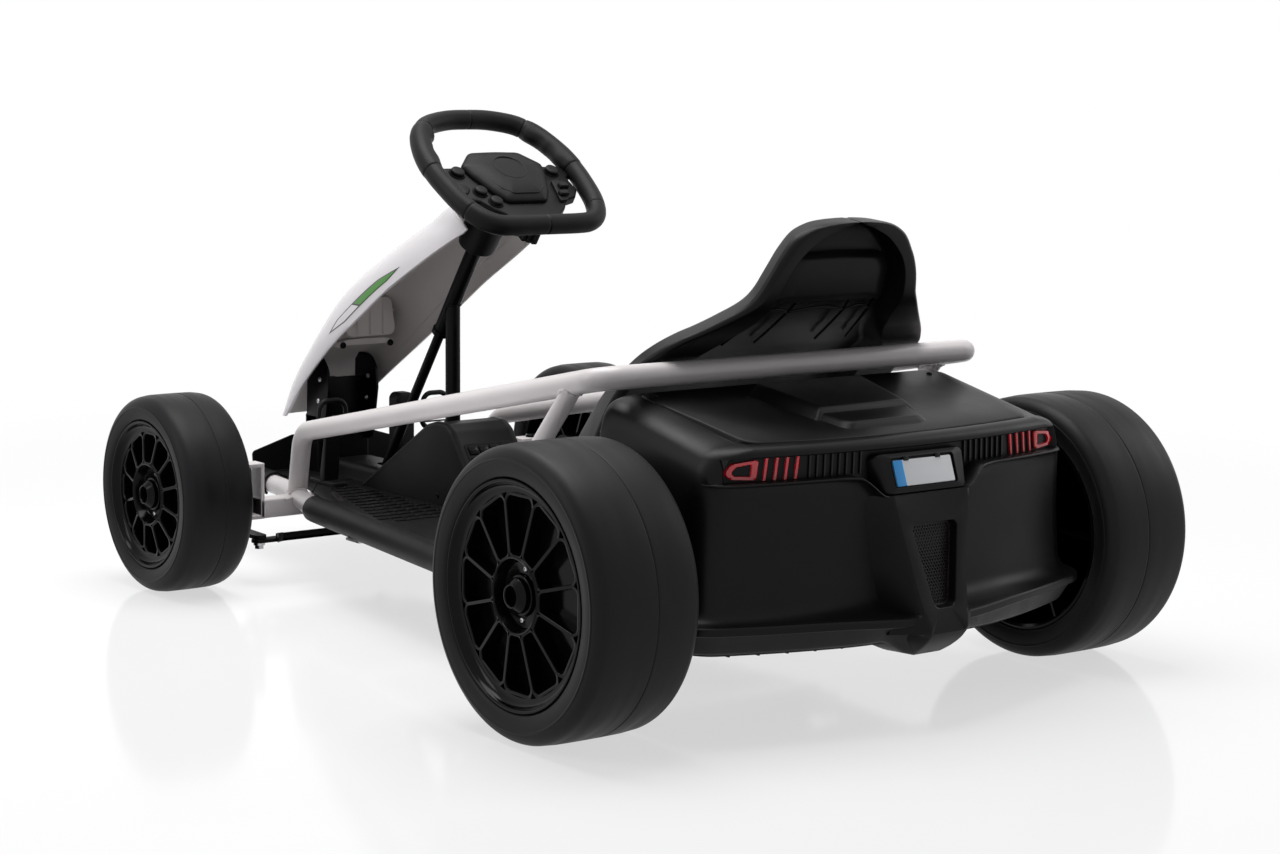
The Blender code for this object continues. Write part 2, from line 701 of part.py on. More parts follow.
def turned_on_column(profile, centre, steps):
    """Turn (along the column, radius) points about the column's axis."""
    loops = []
    for along, radius in profile:
        turns = [2 * pi * k / steps for k in range(steps)]
        middle = centre + COLUMN_AXIS * along
        loops.append([middle + Vector((1, 0, 0)) * radius * cos(a) + COLUMN_UP * radius * sin(a)
                      for a in turns])
    return skin(bmesh.new(), loops)


def make_steering_shaft():
    foot, end, tip = crank_points()
    top = column_point(STEERING_WHEEL_HEIGHT) - COLUMN_AXIS * (0.012 + SEAT_GAP)
    upper = add_object("steering_shaft", tube(fillet([top, foot, end], 0.006, 3), SHAFT_RADIUS, 12),
                       "black_steel")
    pin = tube([end, tip], SHAFT_RADIUS * 0.75, 12)
    pin_obj = add_object("crank_pin", pin, "black_steel")
    join_to(upper, pin_obj)


SLEEVE_TOP = STEERING_WHEEL_HEIGHT - 0.051
SLEEVE_FOOT = SLEEVE_TOP - 0.160
COLUMN_JOINT = SLEEVE_FOOT + 0.042     # height where the post meets the sleeve
POST_FOOT_Y = 0.147                    # behind the front axle
POST_RADIUS = 0.0095


def post_ends():
    return Vector((0, from_front(POST_FOOT_Y), PAN_TOP + SEAT_GAP)), column_point(COLUMN_JOINT)


def make_column():
    """Sleeve that holds the shaft, and the post that carries it."""
    low, high = column_point(SLEEVE_FOOT), column_point(SLEEVE_TOP)
    sleeve = add_object("steering_column", rod(low, high, SLEEVE_RADIUS, 16), "black_steel")
    post = rod(*post_ends(), POST_RADIUS, 12)
    join_to(sleeve, add_object("column_post", post, "black_steel"))
    bore_low, bore_high = column_point(SLEEVE_FOOT - 0.08), column_point(SLEEVE_TOP + 0.05)
    bore = rod(bore_low, bore_high, SHAFT_RADIUS + SLEEVE_CLEARANCE, 16)
    cut(sleeve, add_object("sleeve_bore", bore, "black_steel"))


# Fairing

# height, rear edge and crown behind the front axle, half width
FAIRING = [
    (0.178, -0.191, -0.227, 0.046),
    (0.225, -0.129, -0.203, 0.056),
    (0.300, -0.021, -0.143, 0.061),
    (0.365, 0.093, -0.075, 0.061),
    (0.430, 0.195, 0.037, 0.056),
    (0.470, 0.207, 0.123, 0.044),
    (0.490, 0.203, 0.163, 0.026),
]


def fairing_section(height, edge, crown, half, inset):
    """Half-oval section, open to the rear."""
    depth = edge - crown - inset
    wide = half - inset
    steps = 10
    points = []
    for k in range(steps + 1):
        a = pi * k / steps
        x = wide * (abs(cos(a)) ** 0.7) * (1 if cos(a) > 0 else -1)
        y = edge - depth * (sin(a) ** 0.9)
        points.append((x, y))
    return [Vector((x, from_front(y), height)) for x, y in points]


def make_fairing():
    loops = []
    for height, edge, crown, half in FAIRING:
        outer = fairing_section(height, edge, crown, half, 0)
        inner = fairing_section(height, edge, crown, half, SHELL)
        loops.append(outer + list(reversed(inner)))
    add_object("fairing", skin(bmesh.new(), loops), "white_shell")


def fairing_wall(x, height):
    """Where the fairing's inner wall is, at x and height."""
    for low, high in zip(FAIRING, FAIRING[1:]):
        if low[0] <= height <= high[0]:
            share = (height - low[0]) / (high[0] - low[0])
            row = [a + (b - a) * share for a, b in zip(low, high)]
            ring = fairing_section(*row, SHELL)
            for near, far in zip(ring, ring[1:]):
                if far.x <= x <= near.x:
                    return near.y + (far.y - near.y) * (near.x - x) / (near.x - far.x)
    return from_front(FAIRING[-1][2])


STRAP_HALF = 0.012
STRAP_Z = 0.238


def make_fairing_bracket():
    base = PAN_TOP + SEAT_GAP
    rear, front = from_front(-0.125), from_front(TOE_BOARD_FRONT) + TOE_BOARD_THICKNESS + SEAT_GAP
    bottom = box((-0.040, 0.040), (front, rear), (base, 0.185))
    pillar = add_object("fairing_bracket", bottom, "black_steel", smooth=False)
    for name, side in SIDES:
        profile = [(from_front(-0.161), 0.150), (from_front(-0.115), 0.150), (from_front(-0.075), 0.225)]
        profile += [(from_front(-0.090), 0.262), (from_front(-0.123), 0.268), (from_front(-0.161), 0.215)]
        plate = prism(profile, side * 0.036, side * 0.040, along_x)
        join_to(pillar, add_object(f"bracket_plate_{name}", plate, "black_steel"))
    web = box((-0.037, 0.037), (from_front(-0.115), from_front(-0.109)), (0.226, 0.256))
    join_to(pillar, add_object("bracket_web", web, "black_steel"))
    wall = max(fairing_wall(STRAP_HALF, z) for z in (STRAP_Z, STRAP_Z + 0.004))
    strap = box((-STRAP_HALF, STRAP_HALF), (wall + SEAT_GAP, from_front(-0.111)),
                (STRAP_Z, STRAP_Z + 0.004))
    join_to(pillar, add_object("bracket_strap", strap, "black_steel"))


# Console and pedals

# console's outline from the side: behind the front axle, height over the pan
CONSOLE = [(-0.005, 0.0), (0.157, 0.100), (0.175, 0.1055), (0.198, 0.1050), (0.214, 0.096),
           (0.264, 0.031), (0.292, 0.006), (0.294, 0.0)]
CONSOLE_HALF = 0.048
CONSOLE_EDGE = 0.007
SWITCH_PLACE = (0.236, 0.067)      # middle of the switch panel on the rear slope
SWITCH_TILT = radians(37.6)


def inset(outline, by):
    """The outline with its sides moved inwards."""
    points = [Vector(p) for p in outline]
    result = []
    for i, p in enumerate(points):
        before = (p - points[i - 1]).normalized()
        after = (points[(i + 1) % len(points)] - p).normalized()
        bow = (before + after).normalized()
        result.append(p + Vector((bow.y, -bow.x)) * (by / max(bow.dot(before), 0.4)))
    return result


def make_console():
    """Wedge between the legs, with the switch panel on its rear slope."""
    base = PAN_TOP + SEAT_GAP
    loops = []
    for x, by in ((-CONSOLE_HALF, CONSOLE_EDGE), (-CONSOLE_HALF + CONSOLE_EDGE * 0.3, CONSOLE_EDGE * 0.3),
                  (-CONSOLE_HALF + CONSOLE_EDGE, 0.0), (CONSOLE_HALF - CONSOLE_EDGE, 0.0),
                  (CONSOLE_HALF - CONSOLE_EDGE * 0.3, CONSOLE_EDGE * 0.3), (CONSOLE_HALF, CONSOLE_EDGE)):
        loops.append([Vector((x, from_front(p.x), base + (p.y if corner[1] > 0 else 0.0)))
                      for p, corner in zip(inset(CONSOLE, by), CONSOLE)])
    console = add_object("console", skin(bmesh.new(), loops), "grained_black", smooth=False)
    cut(console, add_object("hump_way", pan_hump(SEAT_GAP), "grained_black"))
    foot, joint = post_ends()
    post_way = rod(foot + (foot - joint) * 0.1, joint, POST_RADIUS + 0.0008, 12)
    cut(console, add_object("post_way", post_way, "grained_black"))
    on_slope = leaning((SWITCH_PLACE[0] - WHEELBASE, base + SWITCH_PLACE[1]), SWITCH_TILT)

    def panel(a, b, half_width, half_height, low, high):
        corners = [(a - half_width, b - half_height), (a + half_width, b - half_height),
                   (a + half_width, b + half_height), (a - half_width, b + half_height)]
        return prism(corners, low, high, on_slope)

    cut(console, add_object("switch_recess", panel(0, 0, 0.036, 0.018, -0.004, 0.02), "grained_black"))
    for k, a in enumerate((-0.027, -0.009, 0.009, 0.027)):
        rocker = panel(a, 0, 0.0065, 0.012, -0.006, -0.0005)
        join_to(console, add_object(f"switch_rocker_{k}", rocker, "grained_black"))


# Pedals: name, side of the middle, place behind the front axle
PEDALS = (("go", -0.080, -0.016), ("brake", 0.080, -0.016))
PEDAL_BAND = 0.007


def make_pedals():
    """Each pedal is a loop on a lever that stands on the pan."""
    base = PAN_TOP + SEAT_GAP
    for name, x, place in PEDALS:
        y = from_front(place)
        profile = [(y - 0.048, base), (y + 0.018, base), (y + 0.018, base + 0.005), (y - 0.010, base + 0.009),
                   (y - 0.001, base + 0.070), (y - 0.007, base + 0.070), (y - 0.026, base + 0.009),
                   (y - 0.048, base + 0.005)]
        pedal = add_object(f"pedal_{name}", prism(profile, x - 0.011, x + 0.011, along_x),
                           "grained_black", smooth=False)

        def loop(grow):
            low, high = base + 0.062 - grow, base + 0.116 + grow
            corners = [(x - 0.026 - grow, low), (x + 0.026 + grow, low), (x + 0.022 + grow, high),
                       (x - 0.022 - grow, high)]
            return [tuple(p) for p in fillet(corners, 0.014 + grow, 3, closed=True)]

        plate = add_object(f"pedal_loop_{name}", prism(loop(0), y - 0.007, y - 0.001, along_y),
                           "grained_black")
        hole = prism(loop(-PEDAL_BAND), y - 0.02, y + 0.02, along_y)
        cut(plate, add_object(f"pedal_hole_{name}", hole, "grained_black"))
        join_to(pedal, plate)


# Seat

SEAT_FLANGE = 0.022        # depth of the skirt that stands on the floor pan
# along the seat: place behind the rear axle, height over the pan, half width, bolster rise,
# depth of the rear flange
SEAT_LINE = [
    (-0.450, 0.066, 0.150, 0.018, 0.020),
    (-0.385, 0.034, 0.168, 0.040, 0.020),
    (-0.305, SEAT_FLANGE + SEAT_GAP, 0.182, 0.075, SEAT_FLANGE),
    (-0.225, 0.034, 0.190, 0.100, 0.030),
    (-0.188, 0.120, 0.197, 0.090, 0.040),
    (-0.160, 0.192, 0.198, 0.070, 0.044),
    (-0.122, 0.257, 0.192, 0.050, 0.044),
    (-0.084, 0.304, 0.150, 0.036, 0.042),
    (-0.046, 0.347, 0.100, 0.026, 0.038),
    (-0.008, 0.382, 0.092, 0.020, 0.028),
    (0.022, 0.399, 0.062, 0.012, 0.020),
]


def seat_frames():
    """Middle points of the seat with the direction that its hollow faces."""
    points = [Vector((0, from_axle(row[0]), PAN_TOP + row[1])) for row in SEAT_LINE]
    frames = []
    for i, p in enumerate(points):
        run = points[min(i + 1, len(points) - 1)] - points[max(i - 1, 0)]
        run.normalize()
        facing = Vector((0, -run.z, run.y))
        frames.append((p, facing))
    return frames


def make_seat():
    """Bucket: a hollow front between bolsters, and a flange that turns to the rear."""
    hollow = [(0.90, 0.75), (0.80, 0.25), (0.58, 0.04), (0.25, 0.0)]
    loops = []
    for (p, facing), (_, _, half, rise, flange) in zip(seat_frames(), SEAT_LINE):
        inner = half - SEAT_WALL
        right = [(a * half, b * rise) for a, b in reversed(hollow)]
        right += [(half - 0.010, rise), (half - 0.003, rise), (half, rise - 0.004), (half, -flange),
                  (inner, -flange), (inner, -SEAT_WALL)]
        outline = right + [(-a, b) for a, b in reversed(right)]
        loops.append([p + Vector((a, 0, 0)) + facing * b for a, b in outline])
    add_object("seat_shell", skin(bmesh.new(), loops), "satin_black")


# Rear body

# height at the body's front and at its tail, half width, front, tail at the sides, tail bulge,
# power of the bulge (1 is a wedge, 2 a bow)
BODY_LEVELS = [
    (0.098, 0.098, 0.262, -0.086, 0.102, 0.060, 1.6),
    (0.108, 0.110, 0.268, -0.087, 0.116, 0.068, 1.4),
    (0.122, 0.120, 0.270, -0.088, 0.118, 0.068, 1.4),
    (0.138, 0.132, 0.261, -0.087, 0.102, 0.041, 1.8),
    (0.200, 0.190, 0.258, -0.087, 0.100, 0.039, 2.0),
    (0.272, 0.242, 0.253, -0.087, 0.101, 0.038, 2.0),
    (0.290, 0.2565, 0.251, -0.087, 0.106, 0.038, 2.0),
    (0.296, 0.262, 0.249, -0.087, 0.102, 0.038, 2.0),
    (0.318, 0.288, 0.239, -0.086, 0.103, 0.035, 2.0),
    (0.328, 0.296, 0.218, -0.083, 0.098, 0.026, 2.0),
]
TAIL_WALL = 0.018          # thicker wall behind the lamps' recess
TAIL_CORNER = 0.036
FRONT_CORNER = 0.020


def tail_plan(x, half, tail, bulge, power):
    return tail + bulge * (1 - min(abs(x) / half, 1) ** power)


def tail_face(x, z):
    """Where the body's rear face is, at x and z."""
    for low, high in zip(BODY_LEVELS, BODY_LEVELS[1:]):
        if low[1] <= z <= high[1]:
            share = (z - low[1]) / (high[1] - low[1])
            half, tail, bulge, power = (low[i] + (high[i] - low[i]) * share for i in (2, 4, 5, 6))
            return from_axle(tail_plan(x, half, tail, bulge, power))
    return from_axle(BODY_LEVELS[0][4])


def deck_height(y):
    """Height of the sloping deck at a place along the kart."""
    top = BODY_LEVELS[-1]
    slope = (top[1] - top[0]) / (top[4] - top[3])
    return top[0] + slope * (y - from_axle(top[3]))


def body_outline(level, inset):
    """Plan of the body at one level, as a ring of points."""
    front_z, tail_z, half, front, tail, bulge, power = level
    tail_inset = TAIL_WALL if inset == BODY_WALL else inset

    def plan(x):
        return tail_plan(x, half, tail, bulge, power) - tail_inset

    side = half - inset
    front += inset
    turns = [0.2 + (pi / 2 - 0.2) * k / 4 for k in range(5)]
    start = side - TAIL_CORNER * (1 - sin(turns[0]))
    low = plan(start) - TAIL_CORNER * cos(turns[0])
    right = [(side - FRONT_CORNER, front), (side - FRONT_CORNER * 0.3, front + FRONT_CORNER * 0.3),
             (side, front + FRONT_CORNER)]
    right += [(side - TAIL_CORNER * (1 - sin(a)), low + TAIL_CORNER * cos(a)) for a in reversed(turns)]
    right += [(start * s, plan(start * s)) for s in (0.75, 0.5, 0.25)]
    corners = right + [(0.0, plan(0.0))] + [(-x, y) for x, y in reversed(right)]
    ring = []
    deck = level is BODY_LEVELS[-1]
    for x, y in corners:
        share = (y - front) / (plan(side) - front)
        if not deck:
            share = min(share, 1.0)
        ring.append(Vector((x, from_axle(y), front_z + (tail_z - front_z) * share)))
    return ring


# Lamps and trim on the tail

LAMP_LOW = 0.260
LAMP_HIGH = 0.284
LAMP_END = 0.234           # outer end of the lamps' recess, from the middle
LAMP_INNER = 0.141
LOUVRE_INNER = 0.082
RECESS_DEPTH = 0.009
STRIP_BASE = 0.002
LAMP_BASE = 0.001
LAMP_THICKNESS = 0.004
LOOP = (0.192, 0.230)      # ends of the ring lamp, from the middle
LOOP_BAND = 0.006
BAR_PLACES = (0.150, 0.1615, 0.173, 0.1845)
BAR_HALF = 0.0015


def tail_strip(x0, x1, back, front, low, high, steps=8):
    """Strip that follows the tail's curve, from back to front of its face."""
    xs = [x0 + (x1 - x0) * i / steps for i in range(steps + 1)]
    middle = (low + high) / 2
    near = [(x, tail_face(x, middle) + back) for x in xs]
    far = [(x, tail_face(x, middle) + front) for x in reversed(xs)]
    return prism(near + far, low, high, along_z)


def make_tail_lamps():
    gap = SEAT_GAP
    floor = -RECESS_DEPTH + gap
    low, high = LAMP_LOW + gap, LAMP_HIGH - gap
    base = tail_strip(-LAMP_END + gap, LAMP_END - gap, floor, floor + STRIP_BASE, low, high, 16)
    band = add_object("louvre_band", base, "grained_black", smooth=False)
    pitch = 0.0085
    count = int((LAMP_INNER - LOUVRE_INNER) / pitch)
    for side_name, side in SIDES:
        for k in range(count):
            x = LOUVRE_INNER + pitch * (k + 0.5)
            rib = tail_strip(x - 0.0012, x + 0.0012, floor + 0.001, floor + 0.0065, low, high, 1)
            join_to(band, add_object(f"louvre_{side_name}_{k}", sided(rib, side), "grained_black"))
    front = floor + STRIP_BASE + gap
    low, high = low + 0.002, high - 0.002
    for name, side in SIDES:
        back = tail_strip(LAMP_INNER + 0.002, LAMP_END - 0.004, front, front + LAMP_BASE, low, high, 6)
        lamp = add_object(f"tail_lamp_{name}", sided(back, side), "red_lens", smooth=False)
        loop = tail_strip(*LOOP, front + LAMP_BASE * 0.5, front + LAMP_THICKNESS, low, high, 3)
        loop_obj = add_object(f"lamp_loop_{name}", sided(loop, side), "red_lens")
        inside = tail_strip(LOOP[0] + LOOP_BAND, LOOP[1] - LOOP_BAND * 1.3, front + LAMP_BASE,
                            front + 0.02, low + LOOP_BAND, high - LOOP_BAND, 2)
        cut(loop_obj, add_object(f"lamp_hole_{name}", sided(inside, side), "red_lens"))
        join_to(lamp, loop_obj)
        for k, x in enumerate(BAR_PLACES):
            bar = tail_strip(x - BAR_HALF, x + BAR_HALF, front + LAMP_BASE * 0.5,
                             front + LAMP_THICKNESS, low, high, 1)
            join_to(lamp, add_object(f"lamp_bar_{name}_{k}", sided(bar, side), "red_lens"))


# the panel down the middle of the tail, from its chin to the plate holder: height, half width
# at its root and at its face, face behind the rear axle
CENTRE_PANEL = [
    (0.071, 0.026, 0.019, 0.159),
    (0.080, 0.046, 0.023, 0.171),
    (0.090, 0.066, 0.0245, 0.184),
    (0.105, 0.062, 0.0263, 0.1920),
    (0.125, 0.062, 0.0310, 0.1845),
    (0.184, 0.070, 0.0411, 0.1695),
    (0.2325, 0.080, 0.0513, 0.1615),
    (0.2385, 0.082, 0.0530, 0.1570),
    (0.2400, 0.060, 0.0508, 0.1540),
    (0.2790, 0.0627, 0.0507, 0.1400),
    (0.2830, 0.0627, 0.0540, 0.1350),
]
CHIN_ROOT = 0.130
PLATE_SIZE = (0.081, 0.027, 0.002)
PLATE_PLACE = (0.1470, 0.2590)     # middle of its face: behind the rear axle, height
PLATE_TILT = radians(19.3)
GRILLE = [(-0.0430, 0.0139), (0.0430, 0.0321)]     # along the panel's face, half width
GRILLE_PLACE = (0.1735, 0.1665)    # middle of the panel's face there
GRILLE_TILT = radians(12.8)
GRILLE_DEPTH = 0.012
GRILLE_HOLES = ((-0.030, 1), (-0.015, 2), (0.000, 2), (0.015, 3), (0.030, 3))


def leaning(place, tilt):
    """Placing function for flat work on a rear face that leans by tilt: across, up, out."""
    y, z = from_axle(place[0]), place[1]

    def put(a, b, c):
        return Vector((a, y - b * sin(tilt) + c * cos(tilt), z + b * cos(tilt) + c * sin(tilt)))

    return put


def grille_notch(shrink):
    """Room in the body's flange for the panel behind its grille."""
    half = GRILLE[1][1] + 0.004 - shrink
    return box((-half, half), (from_axle(0.150) + shrink, from_axle(0.25)),
               (0.112 + shrink, 0.215 - shrink))


def make_centre_panel():
    loops = []
    for z, root, front, rear in CENTRE_PANEL:
        back = CHIN_ROOT if z < BODY_LEVELS[0][1] else 0.120
        loops.append([Vector((x, from_axle(y), z)) for x, y in
                      ((-root, back), (root, back), (root, back + 0.006), (front, rear),
                       (-front, rear), (-root, back + 0.006))])
    form = skin(bmesh.new(), loops)
    bmesh.ops.triangulate(form, faces=form.faces[:])
    panel = add_object("centre_panel", form, "satin_black", smooth=False)
    body_copy = [body_outline(level, 0) for level in BODY_LEVELS]
    tray_bottom = TRAY_FLOOR - TRAY_WALL - SEAT_GAP
    body_copy.insert(0, [Vector((p.x, p.y, tray_bottom)) for p in body_copy[0]])
    keep = bmesh.new()
    skin(keep, [[p + Vector((0, SEAT_GAP, 0)) for p in loop] for loop in body_copy])
    bmesh.ops.triangulate(keep, faces=keep.faces[:])
    keep_obj = add_object("body_behind_panel", keep, "satin_black")
    cut(keep_obj, add_object("notch_fill", grille_notch(SEAT_GAP), "satin_black"))
    cut(panel, keep_obj)
    width, height, thick = PLATE_SIZE

    def oblong(half_width, half_height):
        return [(-half_width, -half_height), (half_width, -half_height), (half_width, half_height),
                (-half_width, half_height)]

    on_holder = leaning(PLATE_PLACE, PLATE_TILT)
    pocket = prism(oblong(width / 2 + SEAT_GAP, height / 2 + SEAT_GAP), -thick, 0.03, on_holder)
    cut(panel, add_object("plate_pocket", pocket, "satin_black"))
    plate = prism(oblong(width / 2, height / 2), SEAT_GAP - thick, SEAT_GAP, on_holder)
    add_object("number_plate", plate, "plate_white", smooth=False)
    on_face = leaning(GRILLE_PLACE, GRILLE_TILT)
    trapezoid = [(-GRILLE[0][1], GRILLE[0][0]), (GRILLE[0][1], GRILLE[0][0]),
                 (GRILLE[1][1], GRILLE[1][0]), (-GRILLE[1][1], GRILLE[1][0])]
    well = prism(trapezoid, -GRILLE_DEPTH, 0.06, on_face)
    cut(panel, add_object("grille_well", well, "satin_black"))
    inset = [(a * (1 - SEAT_GAP / abs(a)), b + (SEAT_GAP if b < 0 else -SEAT_GAP))
             for a, b in trapezoid]
    base = SEAT_GAP - GRILLE_DEPTH
    grille = add_object("rear_grille", prism(inset, base, base + 0.002, on_face), "grey_plastic",
                        smooth=False)
    for row, (b, count) in enumerate(GRILLE_HOLES):
        for k in range(count):
            a = (k - (count - 1) / 2) * 0.014
            hole = prism([(a - 0.004, b), (a, b - 0.005), (a + 0.004, b), (a, b + 0.005)],
                         base - 0.002, base + 0.004, on_face)
            cut(grille, add_object(f"grille_hole_{row}_{k}", hole, "grey_plastic"))


def make_deck_lid():
    """Cover screwed on the deck, with a stepped ridge along its middle."""
    top = BODY_LEVELS[-1]
    front, tail = from_axle(top[3]) + 0.006, from_axle(top[4]) - 0.004
    ridge_front = from_axle(HOOP_REAR[0]) + TUBE_RADIUS + 0.006
    rim = [(0.205, front), (0.199, tail - 0.040), (0.197, tail - 0.016), (0.186, tail)]
    rim += [(x, tail + 0.020 * (1 - (x / 0.19) ** 2)) for x in (0.12, 0.05)]
    outline = rim + [(-x, y) for x, y in reversed(rim)]

    def lid_loop(points, lift):
        return [Vector((x, y, deck_height(y) + lift)) for x, y in points]

    lid = bmesh.new()
    skin(lid, [lid_loop(outline, SEAT_GAP), lid_loop(outline, SEAT_GAP + 0.004)])
    lid_obj = add_object("deck_lid", lid, "satin_black", smooth=False)
    for step, half_front, half_tail, lift in (("low", 0.094, 0.066, 0.009), ("high", 0.050, 0.038, 0.014)):
        ridge = [(half_front, ridge_front), (half_tail, tail), (-half_tail, tail),
                 (-half_front, ridge_front)]
        block = skin(bmesh.new(), [lid_loop(ridge, 0.002), lid_loop(ridge, lift)])
        join_to(lid_obj, add_object(f"lid_ridge_{step}", block, "satin_black"))


def make_rear_body():
    outer = [body_outline(level, 0) for level in BODY_LEVELS]
    inner = [body_outline(level, BODY_WALL) for level in BODY_LEVELS]
    for loop in inner[-2:]:
        for p in loop:
            p.z -= BODY_WALL
    shell = skin(bmesh.new(), list(reversed(inner)) + outer)
    bmesh.ops.triangulate(shell, faces=shell.faces[:])
    body = add_object("rear_body", shell, "satin_black")
    for name, side in SIDES:
        slot = box((0.20, 0.30), (REAR_AXLE_Y - 0.020, REAR_AXLE_Y + 0.020),
                   (0.05, REAR_TYRE_RADIUS + 0.020))
        cut(body, add_object(f"axle_slot_{name}", sided(slot, side), "satin_black"))
    under = from_axle(BODY_LEVELS[0][3])
    cutter = box((-0.30, 0.30), (under - 0.02, under + 0.01), (0.05, 0.16))
    cut(body, add_object("frame_slot", cutter, "satin_black"))
    cut(body, add_object("grille_notch", grille_notch(0), "satin_black"))
    band = tail_strip(-LAMP_END, LAMP_END, -RECESS_DEPTH, 0.03, LAMP_LOW, LAMP_HIGH, 16)
    cut(body, add_object("lamp_recess", band, "satin_black"))


def make_rear_axle():
    """Fixed shaft that carries both rear wheels, in plates on the rear cross tube."""
    end = REAR_WHEEL_X + REAR_TYRE_WIDTH / 2 - CUP_FLOOR_DEPTH
    axle = rod((-end, REAR_AXLE_Y, REAR_TYRE_RADIUS), (end, REAR_AXLE_Y, REAR_TYRE_RADIUS),
               AXLE_RADIUS, 12)
    add_object("rear_axle", axle, "zinc_steel")


GEARBOX_X = (0.186, 0.240)
GEARBOX_RADIUS = 0.042
TRAY_FLOOR = FRAME_Z - TUBE_RADIUS - SEAT_GAP
TRAY_WALL = 0.003


def make_gearboxes():
    """Reduction boxes that stand on the side tubes and carry the axle."""
    base = FRAME_Z + TUBE_RADIUS + SEAT_GAP
    front = from_axle(BODY_LEVELS[0][3]) + 0.016
    y, z = REAR_AXLE_Y, REAR_TYRE_RADIUS
    for name, side in SIDES:
        profile = [(front, base), (y + 0.026, base)] + arc((y, z), GEARBOX_RADIUS, -52, 90, 7)
        profile += [(front, z + GEARBOX_RADIUS * 0.7)]
        housing = add_object(f"gearbox_{name}", sided(prism(profile, *GEARBOX_X, along_x), side),
                             "grained_black")
        bore = rod((side * 0.10, y, z), (side * 0.30, y, z), AXLE_RADIUS + SEAT_GAP, 12)
        cut(housing, add_object(f"gearbox_bore_{name}", bore, "grained_black"))


BATTERY_WIDTH = 0.150
BATTERY_LENGTH = 0.140
BATTERY_CLEARANCE = 0.0065     # under the rear axle


def make_battery_box():
    base = TRAY_FLOOR + SEAT_GAP
    top = REAR_TYRE_RADIUS - AXLE_RADIUS - BATTERY_CLEARANCE
    block = box((-BATTERY_WIDTH / 2, BATTERY_WIDTH / 2),
                (REAR_AXLE_Y - BATTERY_LENGTH / 2, REAR_AXLE_Y + BATTERY_LENGTH / 2), (base, top))
    add_object("battery_box", block, "grey_plastic", smooth=False)


def make_undertray():
    """Tray under the body; the side tubes enter through its front wall."""
    level = BODY_LEVELS[0]
    outline = [(p.x, p.y) for p in body_outline(level, 0)]
    rim = level[0] - SEAT_GAP
    tray = add_object("undertray", prism(outline, TRAY_FLOOR - TRAY_WALL, rim, along_z),
                      "grey_plastic", smooth=False)
    inside = [(p.x, p.y) for p in body_outline(level, TRAY_WALL)]
    cut(tray, add_object("tray_hollow", prism(inside, TRAY_FLOOR, rim + 0.01, along_z), "grey_plastic"))
    for name, side in SIDES:
        notch = sided(tube(frame_path(), TUBE_RADIUS + SEAT_GAP), side)
        cut(tray, add_object(f"tray_notch_{name}", notch, "grey_plastic"))


def main():
    clear_scene()
    make_frame()
    make_front_beam()
    make_hoop()
    make_hoop_posts()
    make_floor_pan()
    make_toe_board()
    make_wheels()
    make_knuckles()
    make_tie_bar()
    make_steering_wheel()
    make_steering_shaft()
    make_column()
    make_fairing()
    make_fairing_bracket()
    make_console()
    make_pedals()
    make_seat()
    make_rear_body()
    make_tail_lamps()
    make_centre_panel()
    make_deck_lid()
    make_rear_axle()
    make_gearboxes()
    make_battery_box()
    make_undertray()


main()
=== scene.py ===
"""Looks of the electric drift kart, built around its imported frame.

Metres, +Z up. The kart faces -Y and its left side is +X. Pieces are drawn at their
places in the frame; each rides on the body that carries it.
"""

import json
from math import asin, atan2, cos, exp, pi, radians, sin, sqrt, tan

import bmesh
import bpy
from mathutils import Matrix, Vector


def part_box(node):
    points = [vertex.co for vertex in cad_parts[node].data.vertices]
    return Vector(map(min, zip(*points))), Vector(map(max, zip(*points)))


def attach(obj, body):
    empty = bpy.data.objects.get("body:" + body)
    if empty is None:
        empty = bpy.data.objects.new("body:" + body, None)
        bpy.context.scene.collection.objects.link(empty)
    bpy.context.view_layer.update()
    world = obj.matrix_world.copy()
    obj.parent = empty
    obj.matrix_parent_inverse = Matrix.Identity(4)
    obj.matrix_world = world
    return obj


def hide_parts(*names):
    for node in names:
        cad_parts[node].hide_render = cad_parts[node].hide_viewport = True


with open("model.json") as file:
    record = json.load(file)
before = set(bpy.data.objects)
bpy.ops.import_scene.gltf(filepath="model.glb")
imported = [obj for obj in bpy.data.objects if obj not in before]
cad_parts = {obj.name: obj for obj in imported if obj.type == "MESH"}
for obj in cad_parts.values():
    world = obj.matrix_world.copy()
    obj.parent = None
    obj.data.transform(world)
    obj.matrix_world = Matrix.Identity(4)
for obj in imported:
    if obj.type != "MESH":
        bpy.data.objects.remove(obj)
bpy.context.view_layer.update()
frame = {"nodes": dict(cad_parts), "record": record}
SIDES = (("left", 1), ("right", -1))
REAR_AXLE_Y = sum(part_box("tyre_rear_left"), Vector()).y / 2
FRONT_AXLE_Y = sum(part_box("tyre_front_left"), Vector()).y / 2


# Materials

def add_node(tree, kind, inputs, **settings):
    """New shader node, or one at hand; an input takes a value or the output that feeds it."""
    node = tree.nodes.new("ShaderNode" + kind) if isinstance(kind, str) else kind
    for key, value in settings.items():
        setattr(node, key, value)
    for key, value in inputs.items():
        if isinstance(value, bpy.types.NodeSocket):
            tree.links.new(value, node.inputs[key])
        else:
            node.inputs[key].default_value = value
    return node


def maths(tree, operation, first, second):
    return add_node(tree, "Math", {0: first, 1: second}, operation=operation).outputs["Value"]


